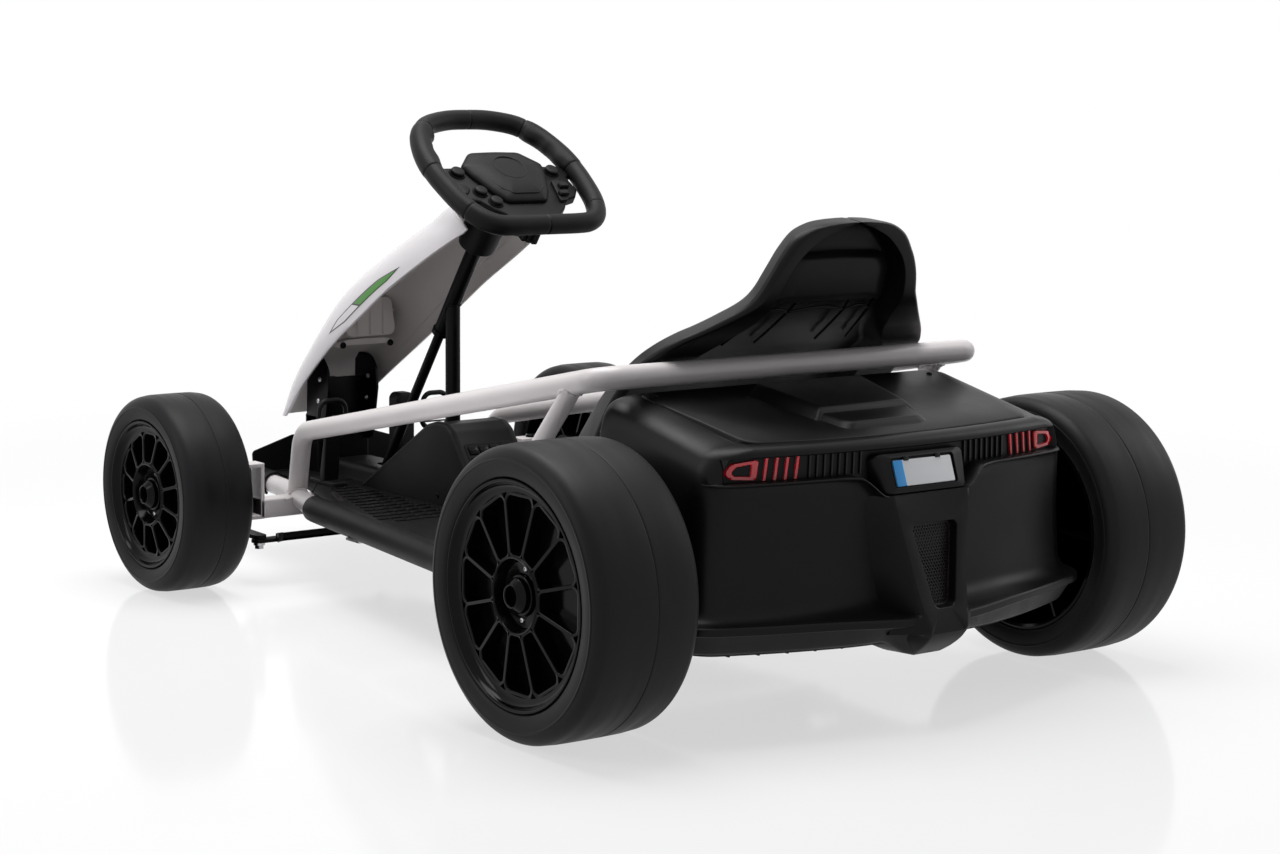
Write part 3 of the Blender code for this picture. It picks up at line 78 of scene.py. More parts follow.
def finish(name, colour, roughness, metallic=0.0, grain=(900.0, 0.00004), mottle=(30.0, 0.1), tint=0.12,
        coat=0.0, stretch=(1.0, 1.0, 1.0), specular=0.5):
    """Principled material with grain in its bump, and uneven gloss and colour."""
    mat = bpy.data.materials.new(name)
    mat.use_nodes = True
    tree = mat.node_tree
    place = add_node(tree, "TexCoord", {}).outputs["Object"]
    scaled = add_node(tree, "Mapping", {"Vector": place, "Scale": stretch}).outputs["Vector"]

    def noise(size, detail):
        return add_node(tree, "TexNoise", {"Vector": scaled, "Scale": size,
            "Detail": detail}).outputs["Fac"]

    fine, broad = noise(grain[0], 3.0), noise(mottle[0], 4.0)
    bump = add_node(tree, "Bump", {"Height": fine, "Distance": grain[1], "Strength": 1.0})
    gloss = add_node(tree, "MapRange", {"Value": broad, "From Min": 0.3, "From Max": 0.7,
        "To Min": max(roughness - mottle[1], 0.02), "To Max": min(roughness + mottle[1], 1.0)})
    blend = add_node(tree, "Mix", {"Factor": broad, "A": (*[c * (1 - tint) for c in colour], 1.0),
        "B": (*[min(c * (1 + tint), 1.0) for c in colour], 1.0)}, data_type="RGBA")
    add_node(tree, tree.nodes["Principled BSDF"], {"Base Color": blend.outputs["Result"],
        "Roughness": gloss.outputs["Result"], "Normal": bump.outputs["Normal"], "Metallic": metallic,
        "Specular IOR Level": specular, "Coat Weight": coat, "Coat Roughness": 0.08})
    return mat


# Colour, roughness, and what differs from the usual
FINISHES = {
    "white_paint": ((0.66, 0.62, 0.62), 0.34, dict(grain=(260, 0.00004), mottle=(18, 0.05), tint=0.03)),
    "black_steel": ((0.0035, 0.0035, 0.004), 0.34, dict(grain=(1100, 0.00005), specular=0.08)),
    "zinc_steel": ((0.5, 0.5, 0.52), 0.34, dict(metallic=1.0, grain=(500, 0.00003))),
    "tyre_rubber": ((0.0085, 0.0078, 0.0088), 0.46,
        dict(grain=(420, 0.00005), mottle=(22, 0.09), tint=0.25, stretch=(3.0, 0.35, 0.35), specular=0.12)),
    "gloss_black": ((0.0018, 0.0018, 0.002), 0.14,
        dict(grain=(300, 0.00001), mottle=(40, 0.04), specular=0.1)),
    "satin_black": ((0.003, 0.003, 0.0034), 0.38,
        dict(grain=(1500, 0.00003), mottle=(14, 0.05), specular=0.12)),
    "grained_black": ((0.0062, 0.006, 0.0066), 0.46,
        dict(grain=(1300, 0.00007), mottle=(20, 0.06), specular=0.12)),
    "white_shell": ((0.66, 0.63, 0.65), 0.17,
        dict(grain=(120, 0.00002), mottle=(8, 0.03), tint=0.02, coat=0.4)),
    # greyer, warmer copy of the white shell: painted shade for the fairing's inside and the lamp box
    "white_shell_painted_shade": ((0.6, 0.56, 0.54), 0.48, dict(grain=(700, 0.00005), mottle=(14, 0.06), tint=0.05)),
    "red_lens": ((0.62, 0.008, 0.02), 0.22, dict(grain=(600, 0.00002), coat=0.3)),
    "lamp_black": ((0.004, 0.002, 0.002), 0.18, dict(grain=(600, 0.00002), specular=0.2)),
    "mesh_dark": ((0.012, 0.009, 0.009), 0.38, dict(grain=(900, 0.00002), specular=0.25)),
    "grey_plastic": ((0.014, 0.014, 0.015), 0.46, dict(grain=(1300, 0.00006), specular=0.15)),
    "plate_white": ((0.74, 0.75, 0.76), 0.35, dict(grain=(900, 0.00002), tint=0.03)),
    "plate_blue": ((0.02, 0.26, 0.62), 0.35, dict(grain=(900, 0.00002), tint=0.05)),
    "accent_green": ((0.035, 0.2, 0.012), 0.35, dict(grain=(900, 0.00002))),
    "accent_black": ((0.01, 0.01, 0.01), 0.35, dict(grain=(900, 0.00002))),
}
MATERIALS = {name: finish(name, *main, **more) for name, (*main, more) in FINISHES.items()}


# Building blocks

def piece(name, bm, mat, *replaces, body="chassis", slot=None, sharp=35.0, extra=()):
    """Turn a bmesh into a piece that rides on a body and may stand for CAD nodes."""
    bmesh.ops.remove_doubles(bm, verts=bm.verts[:], dist=1e-6)
    bmesh.ops.recalc_face_normals(bm, faces=bm.faces[:])
    mesh = bpy.data.meshes.new(name)
    bm.to_mesh(mesh)
    bm.free()
    mesh.shade_smooth()
    mesh.set_sharp_from_angle(angle=radians(sharp))
    for each in (mat, *extra):
        mesh.materials.append(MATERIALS[each])
    obj = bpy.data.objects.new(name, mesh)
    bpy.context.scene.collection.objects.link(obj)
    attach(obj, body)
    if replaces:
        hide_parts(*replaces)
    return obj


def skin(bm, loops, closed=False, caps=True, material=0):
    """Quads between equal loops of points."""
    rings = [[bm.verts.new(p) for p in loop] for loop in loops]
    count = len(rings[0])
    pairs = list(zip(rings, rings[1:]))
    if closed:
        pairs.append((rings[-1], rings[0]))
    for near, far in pairs:
        for i in range(count):
            j = (i + 1) % count
            face = bm.faces.new((near[i], near[j], far[j], far[i]))
            face.material_index = material
    if caps and not closed:
        bm.faces.new(rings[0]).material_index = material
        bm.faces.new(rings[-1]).material_index = material
    return bm


def cap(bm, points):
    return bm.faces.new([bm.verts.new(p) for p in points])


def arc(centre, radius, start, end, steps):
    turns = [radians(start + (end - start) * i / steps) for i in range(steps + 1)]
    return [(centre[0] + radius * cos(a), centre[1] + radius * sin(a)) for a in turns]


def fillet(points, radius, steps=6, closed=False):
    """Round the corners of a polyline or outline; radius is one value or one for each corner."""
    points = [Vector((*p, 0)) if len(p) == 2 else Vector(p) for p in points]
    count = len(points)
    radii = radius if isinstance(radius, (list, tuple)) else [radius] * count
    result = []
    for i, corner in enumerate(points):
        if (not closed and i in (0, count - 1)) or radii[i] <= 0:
            result.append(corner.copy())
            continue
        before = points[i - 1] - corner
        after = points[(i + 1) % count] - corner
        half = before.angle(after) / 2
        if half > radians(89.5):
            result.append(corner.copy())
            continue
        reach = min(radii[i] / tan(half), before.length * 0.49, after.length * 0.49)
        start = corner + before.normalized() * reach
        end = corner + after.normalized() * reach
        bow = (before.normalized() + after.normalized()).normalized()
        bend = reach * tan(half)
        centre = corner + bow * (bend / sin(half))
        for k in range(steps + 1):
            mix = start.lerp(end, k / steps) - centre
            result.append(centre + mix.normalized() * bend)
    return result


def rounded(points, radius, steps=6):
    return fillet(points, radius, steps, closed=True)


def oblong(x0, x1, y0, y1):
    return [(x0, y0), (x1, y0), (x1, y1), (x0, y1)]


def mirrored(half):
    """Outline from its right half."""
    return half + [(-a, b) for a, b in reversed(half)]


def circle(count):
    return [2 * pi * k / count for k in range(count)]


def frames_along(points, closed=False):
    """Point, side and up vectors along a path, without twist."""
    points = [Vector(p) for p in points]
    count = len(points)
    side = None
    result = []
    for i, p in enumerate(points):
        if closed:
            back, ahead = points[i - 1], points[(i + 1) % count]
        else:
            back, ahead = points[max(i - 1, 0)], points[min(i + 1, count - 1)]
        run = ((ahead - p).normalized() + (p - back).normalized()).normalized()
        if side is None:
            side = run.orthogonal().normalized()
        side = (side - run * side.dot(run)).normalized()
        result.append((p, side, run.cross(side), run))
    return result


def tube(points, radius, sides=28, closed=False, bm=None, material=0):
    """Round tube along a path; its open ends are capped."""
    loops = []
    for p, side, up, _ in frames_along(points, closed):
        turns = circle(sides)
        loops.append([p + side * radius * cos(a) + up * radius * sin(a) for a in turns])
    return skin(bm or bmesh.new(), loops, closed, material=material)


def revolve(bm, profile, steps, place, closed=True, material=0):
    """Turn (along, radius) points; place(along, radial_1, radial_2) gives the 3-D point."""
    loops = []
    for along, radius in profile:
        turns = circle(steps)
        loops.append([place(along, radius * cos(a), radius * sin(a)) for a in turns])
    return skin(bm, loops, closed, material=material)


def prism(bm, outline, low, high, place, bevel=0.0, material=0):
    """Flat outline from low to high, its high edge rounded by bevel; place gives the 3-D point."""
    flat = [Vector((p[0], p[1])) for p in outline]
    count = len(flat)
    area = sum(flat[i - 1].x * flat[i].y - flat[i].x * flat[i - 1].y for i in range(count))
    turn = 1 if area > 0 else -1
    inward = []
    for i, p in enumerate(flat):
        run = (flat[(i + 1) % count] - flat[i - 1]).normalized()
        inward.append(Vector((-run.y, run.x)) * turn)
    rows = [(low, 0.0)]
    if bevel > 0:
        for k in range(4):
            a = pi / 2 * k / 3
            rows.append((high - bevel * (1 - sin(a)), bevel * (1 - cos(a))))
    else:
        rows.append((high, 0.0))
    loops = []
    for level, inset in rows:
        loops.append([Vector(place(*(p + n * inset), level)) for p, n in zip(flat, inward)])
    return skin(bm, loops, material=material)


def screw(bm, centre, axis, radius=0.004, height=0.002, material=0):
    """Pan-head screw with a round recess, seen from its head."""
    axis = Vector(axis).normalized()
    side = axis.orthogonal().normalized()
    up = axis.cross(side)
    centre = Vector(centre)

    def place(a, b, c):
        return centre + axis * a + side * b + up * c

    profile = [(-0.001, radius), (height * 0.45, radius), (height * 0.85, radius * 0.8),
        (height, radius * 0.5), (height, radius * 0.42), (height * 0.35, radius * 0.3)]
    return revolve(bm, profile, 16, place, closed=False, material=material)


def xyz(a, b, c):
    return Vector((a, b, c))


def smoothstep(low, high, value):
    t = min(max((value - low) / (high - low), 0.0), 1.0)
    return t * t * (3 - 2 * t)


# Wheels. Sizes follow the frame's tyres; "along" is outwards from the wheel's middle plane.

SIDEWALL = {"front": 0.031, "rear": 0.0335}
SPOKES = 12
FACE_DEPTH = 0.012         # wheel's face behind the tyre's side, at its outer edge
FACE_RISE = 0.0046         # how far the face comes out towards the cup
CUP_RADIUS = 0.0375        # cup round the axle nut
WINDOW_DEPTH = 0.016


def offsets(along, radius, steps):
    return [(along + a, radius + r) for a, r in steps]


def tyre_profile(radius, half, bead):
    """Closed profile from the outer bead over the tread to the inner bead."""
    ridge = radius - 0.015
    outer = offsets(half, bead, [(-0.0085, 0.0002), (-0.005, 0.0004), (-0.003, 0.0016), (-0.0022, 0.003),
        (-0.0014, 0.0042)])
    outer += offsets(half, ridge, [(-0.0006, -0.0022), (-0.0006, -0.001), (-0.0001, -0.0004),
        (-0.0001, 0.0004), (-0.0008, 0.0012)])
    shoulder = arc((half - 0.016, radius - 0.0165), 0.0152, 4, 80, 12)
    crown = [(half * share, radius - 0.001 * share * share) for share in (0.55, 0.35, 0.15)]
    seam = -0.1 * half
    middle = [(seam + 0.0016, radius), (seam + 0.0008, radius - 0.0001), (seam + 0.0003, radius - 0.0007),
        (seam - 0.0003, radius - 0.0007), (seam - 0.0008, radius - 0.0001), (seam - 0.0016, radius)]
    right = outer + shoulder + crown
    left = [(-a, r) for a, r in reversed(right)]
    return right + middle + left


def rim_profile(half, bead):
    """Closed profile of lip, dish, face seat and barrel; the face itself is separate."""
    lip = half - 0.0045
    face = half - FACE_DEPTH
    dish = bead - 0.0125
    outer = offsets(lip, bead, [(-0.01, -0.0003), (0, -0.0003), (0.0012, -0.001), (0.0016, -0.0022),
        (0.0012, -0.0034), (0, -0.0042), (-0.0016, -0.0048), (-0.004, -0.0062)])
    outer += offsets(face, bead, [(0.0018, -0.0076), (0.0006, -0.0092), (0.0001, -0.011)])
    seat = [(face, dish - 0.002), (face - WINDOW_DEPTH, dish - 0.0024),
        (face - WINDOW_DEPTH - 0.004, bead - 0.006)]
    return outer + seat + offsets(-lip, bead, [(0.002, -0.006), (-0.001, -0.003), (0, -0.0003)])


def wheel_face(bm, half, bead, place):
    """Twelve rounded windows between thin spokes, as rings of quads in each sector."""
    outer = bead - 0.0125 - 0.002
    inner = CUP_RADIUS + 0.0014

    def on_face(p, drop=0.0):
        share = min(max((outer - p.length) / (outer - inner), 0.0), 1.0)
        return place(half - FACE_DEPTH + FACE_RISE * share - drop, p.x, p.y)

    rib, edge = 0.0019, 10
    step = 2 * pi / SPOKES
    for index in range(SPOKES):
        middle = index * step
        corners = []
        for radius, order in ((inner + 0.0022, 1), (outer - 0.0012, -1)):
            half_turn = step / 2 - rib / radius
            for k in (-1, 1):
                a = middle + order * k * half_turn
                corners.append((radius * cos(a), radius * sin(a)))
        window = [p.xy for p in rounded(corners, [0.0045, 0.0045, 0.0075, 0.0075], edge)]
        border = []
        for p in window:
            angle = (atan2(p.y, p.x) - middle + pi) % (2 * pi) - pi
            reach = (p.length - inner) / (outer - inner)
            if abs(angle / (step / 2)) > abs(2 * reach - 1):
                radius, angle = p.length, (step / 2) * (1 if angle > 0 else -1)
            else:
                radius = outer if reach > 0.5 else inner
            border.append(Vector((radius * cos(angle + middle), radius * sin(angle + middle))))
        centre = Vector((cos(middle), sin(middle))) * (inner + outer) / 2
        rows = [[on_face(p) for p in border]]
        for inset, drop in ((-0.0005, 0.0), (0.0, 0.0003), (0.0004, 0.001), (0.0009, 0.004),
                (0.002, WINDOW_DEPTH)):
            rows.append([on_face(p + (centre - p).normalized() * inset, drop) for p in window])
        skin(bm, rows, caps=False)
        cap(bm, rows[-1])


def hub_profile(half):
    """Cup round the axle, with its raised disc."""
    face = half - FACE_DEPTH + FACE_RISE
    wall = offsets(face, CUP_RADIUS, [(-0.016, 0.003), (-0.0004, 0.002), (0.0008, 0.0012),
        (0.0012, 0.0004), (0.0008, -0.0006), (-0.0004, -0.0012), (-0.01, -0.0038), (-0.0115, -0.0046),
        (-0.0118, -0.006)])
    disc = offsets(face, 0, [(-0.0118, 0.0225), (-0.0112, 0.0212), (-0.0065, 0.0208), (-0.0058, 0.0203),
        (-0.0055, 0.0195), (-0.0055, 0.008), (-0.016, 0.008)])
    return wall + disc


def cap_profile(half):
    """Round nut cover: a short cylinder, a cone and a blind hole."""
    face = half - FACE_DEPTH + FACE_RISE
    return offsets(face, 0, [(-0.0052, 0.0182), (-0.0012, 0.0182), (-0.0002, 0.0176), (0.0046, 0.0124),
        (0.0054, 0.0118), (0.0056, 0.011), (0.0052, 0.0104), (0.0042, 0.01), (-0.003, 0.0096)])


def make_wheel(name, body, side):
    low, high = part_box(f"tyre_{name}")
    centre = (low + high) / 2
    half = (high.x - low.x) / 2
    radius = (high.z - low.z) / 2
    bead = radius - SIDEWALL[name.split("_")[0]]

    def place(a, b, c):
        return centre + Vector((side * a, b, c))

    tyre = revolve(bmesh.new(), tyre_profile(radius, half, bead), 160, place)
    piece(f"slick_{name}", tyre, "tyre_rubber", f"tyre_{name}", body=body, sharp=50)
    rim = revolve(bmesh.new(), rim_profile(half, bead), 144, place)
    wheel_face(rim, half, bead, place)
    revolve(rim, hub_profile(half), 64, place)
    face = half - FACE_DEPTH
    cup = face + FACE_RISE
    back = [(face - WINDOW_DEPTH + 0.0005, bead - 0.0135), (face - WINDOW_DEPTH - 0.003, bead - 0.0125),
        (face - WINDOW_DEPTH - 0.003, 0.03), (-half + 0.01, 0.026), (-half + 0.01, 0.0075),
        (face - WINDOW_DEPTH + 0.0005, 0.0075)]
    revolve(rim, back, 96, place)
    for k in range(6):
        a = 2 * pi * k / 6
        rib = [(face - WINDOW_DEPTH - 0.003, 0.024), (face - WINDOW_DEPTH - 0.003, bead - 0.008),
            (-half + 0.012, bead - 0.0065), (-half + 0.02, 0.024)]
        along = Vector((0, cos(a), sin(a)))
        across = Vector((0, -sin(a), cos(a)))
        prism(rim, rib, -0.0015, 0.0015,
            lambda p, q, w: centre + Vector((side * p, 0, 0)) + along * q + across * w)
    piece(f"wheel_{name}", rim, "gloss_black", f"rim_{name}", body=body, sharp=38)
    cover = revolve(bmesh.new(), cap_profile(half), 48, place, closed=False)
    piece(f"cap_{name}", cover, "gloss_black", f"hub_cap_{name}", body=body)
    bolts = bmesh.new()
    for k in (0, 1):
        a = pi / 2 + pi * k - side * 0.1
        spot = place(cup - 0.0118, 0.0262 * cos(a), 0.0262 * sin(a))
        screw(bolts, spot, (side, 0, 0), 0.003, 0.0022)
    piece(f"hub_screws_{name}", bolts, "zinc_steel", body=body)


def make_wheels():
    for name in ("front_left", "front_right", "rear_left", "rear_right"):
        make_wheel(name, f"wheel_{name}", 1 if name.endswith("left") else -1)


# Rear body. Places along the kart are behind the rear axle, positive towards the tail.

def axle_y(y):
    return REAR_AXLE_Y + y


def curve(table, t):
    """Smooth value at t through a table of (t, value) rows."""
    if t <= table[0][0]:
        return table[0][1]
    for i in range(len(table) - 1):
        (t0, v0), (t1, v1) = table[i], table[i + 1]
        if t <= t1:
            before = table[max(i - 1, 0)]
            after = table[min(i + 2, len(table) - 1)]
            m0 = (v1 - before[1]) / (t1 - before[0])
            m1 = (after[1] - v0) / (after[0] - t0)
            h = t1 - t0
            s = (t - t0) / h
            return ((2 * s ** 3 - 3 * s * s + 1) * v0 + (s ** 3 - 2 * s * s + s) * h * m0
                + (3 * s * s - 2 * s ** 3) * v1 + (s ** 3 - s * s) * h * m1)
    return table[-1][1]


# height at the tail: half width, height at the front, rounding of the tail's corners
BODY_HALF = [(0.098, 0.264), (0.122, 0.264), (0.135, 0.261), (0.19, 0.257), (0.24, 0.2525), (0.256, 0.25),
    (0.27, 0.247), (0.28, 0.243), (0.288, 0.236), (0.293, 0.228), (0.296, 0.216)]
BODY_FRONT_Z = [(0.098, 0.098), (0.122, 0.122), (0.13, 0.135), (0.19, 0.2), (0.256, 0.288), (0.27, 0.302),
    (0.28, 0.312), (0.288, 0.32), (0.293, 0.325), (0.296, 0.328)]
BODY_FRONT = -0.087
CORNER = 0.036
FLANGE_TOP = [(0.0, 0.115), (0.06, 0.1165), (0.12, 0.119), (0.2, 0.12), (0.27, 0.1215)]
LIP_OUT, LIP_IN = 0.0843, 0.056      # where the lip starts and ends its fall beside the plate
LIP_HIGH, LIP_LOW = 0.2595, 0.2386
LAMP_END, LAMP_TOP = 0.2325, 0.2838


def flange_top(x):
    return curve(FLANGE_TOP, abs(x))


def lip_height(x):
    return LIP_LOW + (LIP_HIGH - LIP_LOW) * smoothstep(LIP_IN - 0.003, LIP_OUT + 0.003, abs(x))


def lip_reach(x):
    """How far the lip under the lamps stands off the panel."""
    x = abs(x)
    reach = 0.005 + 0.0135 * (1 - smoothstep(LIP_IN - 0.002, LIP_OUT + 0.03, x))
    return reach * (1 - smoothstep(0.225, 0.2475, x))


def panel_y(x, z=0.2):
    """Tail panel between the flange and the lamps."""
    share = min(max((z - 0.135) / 0.115, 0.0), 1.0)
    return 0.1405 - 0.566 * x * x - 0.003 * sin(pi * share)


def flange_y(x):
    return 0.186 - 0.068 * min(abs(x) / 0.27, 1.0) ** 1.4


def body_rows():
    """Rows of the body from its lower edge to the deck: height and relief as functions of x."""
    rows = []

    def flange_out(x):
        return flange_y(x) - panel_y(x, 0.0)

    for drop, back in ((0.0095, 0.012), (0.0093, 0.003), (0.0088, 0.0008), (0.008, 0.0), (0.0045, 0.0),
            (0.002, 0.0003), (0.0006, 0.0014)):
        rows.append((lambda x, d=drop: flange_top(x) - d, lambda x, b=back: flange_out(x) - b))
    for k in range(9):
        a = pi / 2 * k / 8
        rows.append((lambda x, a=a: flange_top(x) + 0.019 * (1 - cos(a)) ** 1.15,
            lambda x, a=a: (flange_out(x) - 0.0025) * (1 - sin(a)) ** 0.85))
    for k in range(1, 12):
        s = k / 12
        rows.append((lambda x, s=s: (flange_top(x) + 0.019) * (1 - s) + (lip_height(x) - 0.017) * s,
            lambda x: 0.0))
    for k in range(9):
        a = pi / 2 * k / 8
        rows.append((lambda x, a=a: lip_height(x) - 0.017 + 0.015 * sin(a),
            lambda x, a=a: lip_reach(x) * (1 - cos(a))))
    for up, back in ((0.001, 0.0), (0.0016, 0.0004), (0.002, 0.0012)):
        rows.append((lambda x, u=up: lip_height(x) - 0.002 + u,
            lambda x, b=back: lip_reach(x) - b * (1 if abs(x) < 0.245 else 0)))

    def deep(x):
        return -0.0085 * (1 - smoothstep(LAMP_END - 0.0012, LAMP_END + 0.0004, abs(x)))

    rows.append((lambda x: lip_height(x) + 0.0006, deep))
    for s in (0.35, 0.7):
        rows.append((lambda x, s=s: (lip_height(x) + 0.0006) * (1 - s) + (LAMP_TOP - 0.0004) * s, deep))
    rows.append((lambda x: LAMP_TOP - 0.0004, deep))
    for up, back in ((0.0, 0.0016), (0.0005, 0.0006), (0.0014, 0.0)):
        rows.append((lambda x, u=up: LAMP_TOP + u,
            lambda x, b=back: -b * (1 - smoothstep(0.205, 0.232, abs(x)))))
    for k in range(1, 9):
        a = pi / 2 * k / 8
        rows.append((lambda x, a=a: LAMP_TOP + 0.0014 + 0.0106 * sin(a),
            lambda x, a=a: -0.015 * (1 - cos(a))))
    return rows


def body_ring(row):
    """One ring of the body, from the middle of the tail round to the middle of the front."""
    height, relief = row
    z_side = height(0.25)
    half = curve(BODY_HALF, z_side)
    front_z = curve(BODY_FRONT_Z, z_side)
    turn = 0.2
    x_start = half - CORNER * (1 - sin(turn))
    points = []

    def add(x, y, nx, ny, share):
        z = height(x)
        out = relief(x)
        if ny < 0.999:
            out = min(out, 0.0125 + 0.03 * max(ny, 0.0))
        z += (front_z - z_side) * share
        points.append(Vector((x + nx * out, axle_y(y + ny * out), z)))

    knots = [0.0, 0.04, LIP_IN, LIP_OUT, 0.125, 0.2, x_start]
    counts = [6, 8, 16, 6, 8, 6]
    for (x0, x1), count in zip(zip(knots, knots[1:]), counts):
        for k in range(count):
            x = x0 + (x1 - x0) * k / count
            length = sqrt(1 + (0.9 * x) ** 2)
            add(x, panel_y(x, height(x)), 0.9 * x / length, 1 / length, 0.0)
    low = panel_y(x_start, height(x_start)) - CORNER * cos(turn)
    edge = min(max(1 - (half - LAMP_END + 0.0004) / CORNER, sin(turn + 0.08)), 0.93)
    edge = asin(edge)
    turns = [turn + (edge - 0.03 - turn) * k / 5 for k in range(5)]
    turns += [edge - 0.03 + 0.06 * k / 4 for k in range(4)]
    turns += [edge + 0.03 + (pi / 2 - edge - 0.03) * k / 9 for k in range(10)]
    for a in turns:
        add(half - CORNER * (1 - sin(a)), low + CORNER * cos(a), sin(a), cos(a), 0.0)
    length = low - BODY_FRONT
    for k in range(1, 12):
        share = k / 12
        add(half, low - (length - 0.022) * share, 1.0, 0.0, share)
    for k in range(7):
        a = pi / 2 * k / 6
        add(half - 0.022 * (1 - cos(a)), BODY_FRONT + 0.022 * (1 - sin(a)), cos(a), -sin(a), 1.0)
    for x in (0.18, 0.12, 0.06, 0.0):
        add(x, BODY_FRONT, 0.0, -1.0, 1.0)
    return points + [Vector((-p.x, p.y, p.z)) for p in reversed(points[1:-1])]


def deck_z(y):
    return 0.328 - 0.185 * (y - REAR_AXLE_Y + 0.083)


LID_FRONT, LID_TAIL = -0.068, 0.102     # front edge and rear corners of the deck's cover


def lid_outline(grow):
    """Plan of the deck's cover, grown outwards."""
    right = [(0.208 + grow, LID_FRONT - grow), (0.2 + grow, 0.03), (0.197 + grow, LID_TAIL + grow),
        (0.12, 0.112 + grow), (0.04, 0.1165 + grow)]
    radii = [0.012, 0.3, 0.02, 0.1, 0.1]
    return [(p.x, p.y) for p in rounded(mirrored(right), radii + radii[::-1])]


def make_rear_body():
    rings = [body_ring(row) for row in body_rows()]
    shell = bmesh.new()
    top = rings[-1]
    centre = Vector((0, axle_y(0.01), 0))
    for inset in (0.004, 0.01):
        ring = []
        for p in top:
            q = Vector((p.x, p.y, 0))
            spot = q + (centre - q).normalized() * inset
            ring.append(Vector((spot.x, spot.y, deck_z(spot.y) + 0.0002)))
        rings.append(ring)
    skin(shell, rings, caps=False)

    def on_deck(points, drop):
        return [Vector((x, axle_y(y), deck_z(axle_y(y)) + 0.0002 - drop)) for x, y in points]

    fill_between(shell, rings[-1], on_deck(lid_outline(0.0018), 0.0))
    groove = [on_deck(lid_outline(g), d) for g, d in ((0.0018, 0.0), (0.0012, 0.0006), (0.001, 0.0045),
        (-0.006, 0.0045))]
    skin(shell, groove, caps=False)
    cap(shell, groove[-1])

    def inwards(ring, share):
        return [Vector((p.x * 0.985, axle_y(0.01) + (p.y - axle_y(0.01)) * share, p.z)) for p in ring]

    ceiling = [Vector((p.x * 0.9, axle_y(0.01) + (p.y - axle_y(0.01)) * 0.85, deck_z(p.y) - 0.012))
        for p in rings[-1]]
    skin(shell, [rings[0], inwards(rings[0], 0.8), inwards(rings[16], 0.93), inwards(rings[30], 0.93),
        ceiling], caps=False)
    cap(shell, ceiling)
    piece("rear_shell", shell, "satin_black", "rear_body", sharp=40)


# Panel down the middle of the tail: height, half width of its face, face behind the axle, root
KEEL = [(0.0715, 0.019, 0.159, 0.026), (0.08, 0.0225, 0.172, 0.046), (0.09, 0.0243, 0.184, 0.064),
    (0.099, 0.0255, 0.1905, 0.062), (0.106, 0.0265, 0.1915, 0.06), (0.125, 0.031, 0.1848, 0.0615),
    (0.154, 0.036, 0.1765, 0.066), (0.184, 0.0411, 0.1698, 0.07), (0.21, 0.047, 0.1648, 0.0755),
    (0.225, 0.05, 0.1622, 0.079), (0.234, 0.0525, 0.16, 0.082), (0.2384, 0.053, 0.1583, 0.083)]
GRILLE_CORNERS = [(-0.0139, 0.124), (0.0139, 0.124), (0.0321, 0.2085), (-0.0321, 0.2085)]
WELL = 0.011


def keel_value(z, column):
    return curve([(row[0], row[column]) for row in KEEL], z)


def keel_face(z):
    return keel_value(z, 2)


def grille_outline(grow=0.0):
    corners = [(x + (grow if x > 0 else -grow), z + (grow if z > 0.15 else -grow))
        for x, z in GRILLE_CORNERS]
    return [(p.x, p.y) for p in rounded(corners, [0.0085, 0.0085, 0.006, 0.006], 8)]


def make_keel():
    keel = bmesh.new()
    heights = [0.0715 + (0.099 - 0.0715) * k / 10 for k in range(10)]
    heights += [0.099 + (0.2384 - 0.099) * k / 56 for k in range(57)]
    shares = [0.0, 0.06, 0.14, 0.25, 0.4, 0.55, 0.7, 0.82, 0.91, 0.97]

    def row(z):
        """Points from the left root over the flank to the face, and so on to the right."""
        face, reach, root = keel_value(z, 1), keel_face(z), keel_value(z, 3)
        base = (flange_y(root) if z < 0.118 else panel_y(root)) - 0.01
        if z < 0.098:
            base = 0.128
        points = []
        for t in shares:
            bow = t ** (1.35 - 0.35 * t)
            x = root + (face - root) * t
            y = base + (reach - base) * bow
            points.append((x, y))
        points += [(face - 0.0006, reach - 0.0001), (face - 0.003, reach)]
        return [Vector((x, axle_y(y), z)) for x, y in mirrored(points)]

    rings = [row(z) for z in heights]
    count = len(rings[0])
    middle = count // 2 - 1
    # flanks as strips; the face is filled round the grille's well
    for side in (0, 1):
        span = range(0, middle) if side == 0 else range(middle + 1, count - 1)
        for low, high in zip(rings, rings[1:]):
            for i in span:
                cap(keel, [low[i], low[i + 1], high[i + 1], high[i]])
    outer = [ring[middle] for ring in rings] + [ring[middle + 1] for ring in reversed(rings)]

    def on_face(points, drop):
        return [Vector((x, axle_y(keel_face(z) - drop), z)) for x, z in points]

    fill_between(keel, outer, on_face(grille_outline(0.0012), 0.0))
    well = [on_face(grille_outline(g), d) for g, d in ((0.0012, 0.0), (0.0006, 0.0002), (0.0002, 0.0008),
        (0.0, 0.002), (-0.0008, WELL))]
    skin(keel, well, caps=False)
    back = [[Vector((p.x, axle_y(0.12), p.z)) for p in (ring[0], ring[-1])] for ring in rings]
    for low, high, back_low, back_high in zip(rings, rings[1:], back, back[1:]):
        for k, i in ((0, 0), (1, -1)):
            cap(keel, [low[i], high[i], back_high[k], back_low[k]])
    for ring, rear in ((rings[0], back[0]), (rings[-1], back[-1])):
        cap(keel, ring + [rear[1], rear[0]])
    piece("tail_keel", keel, "satin_black", "centre_panel", sharp=32)


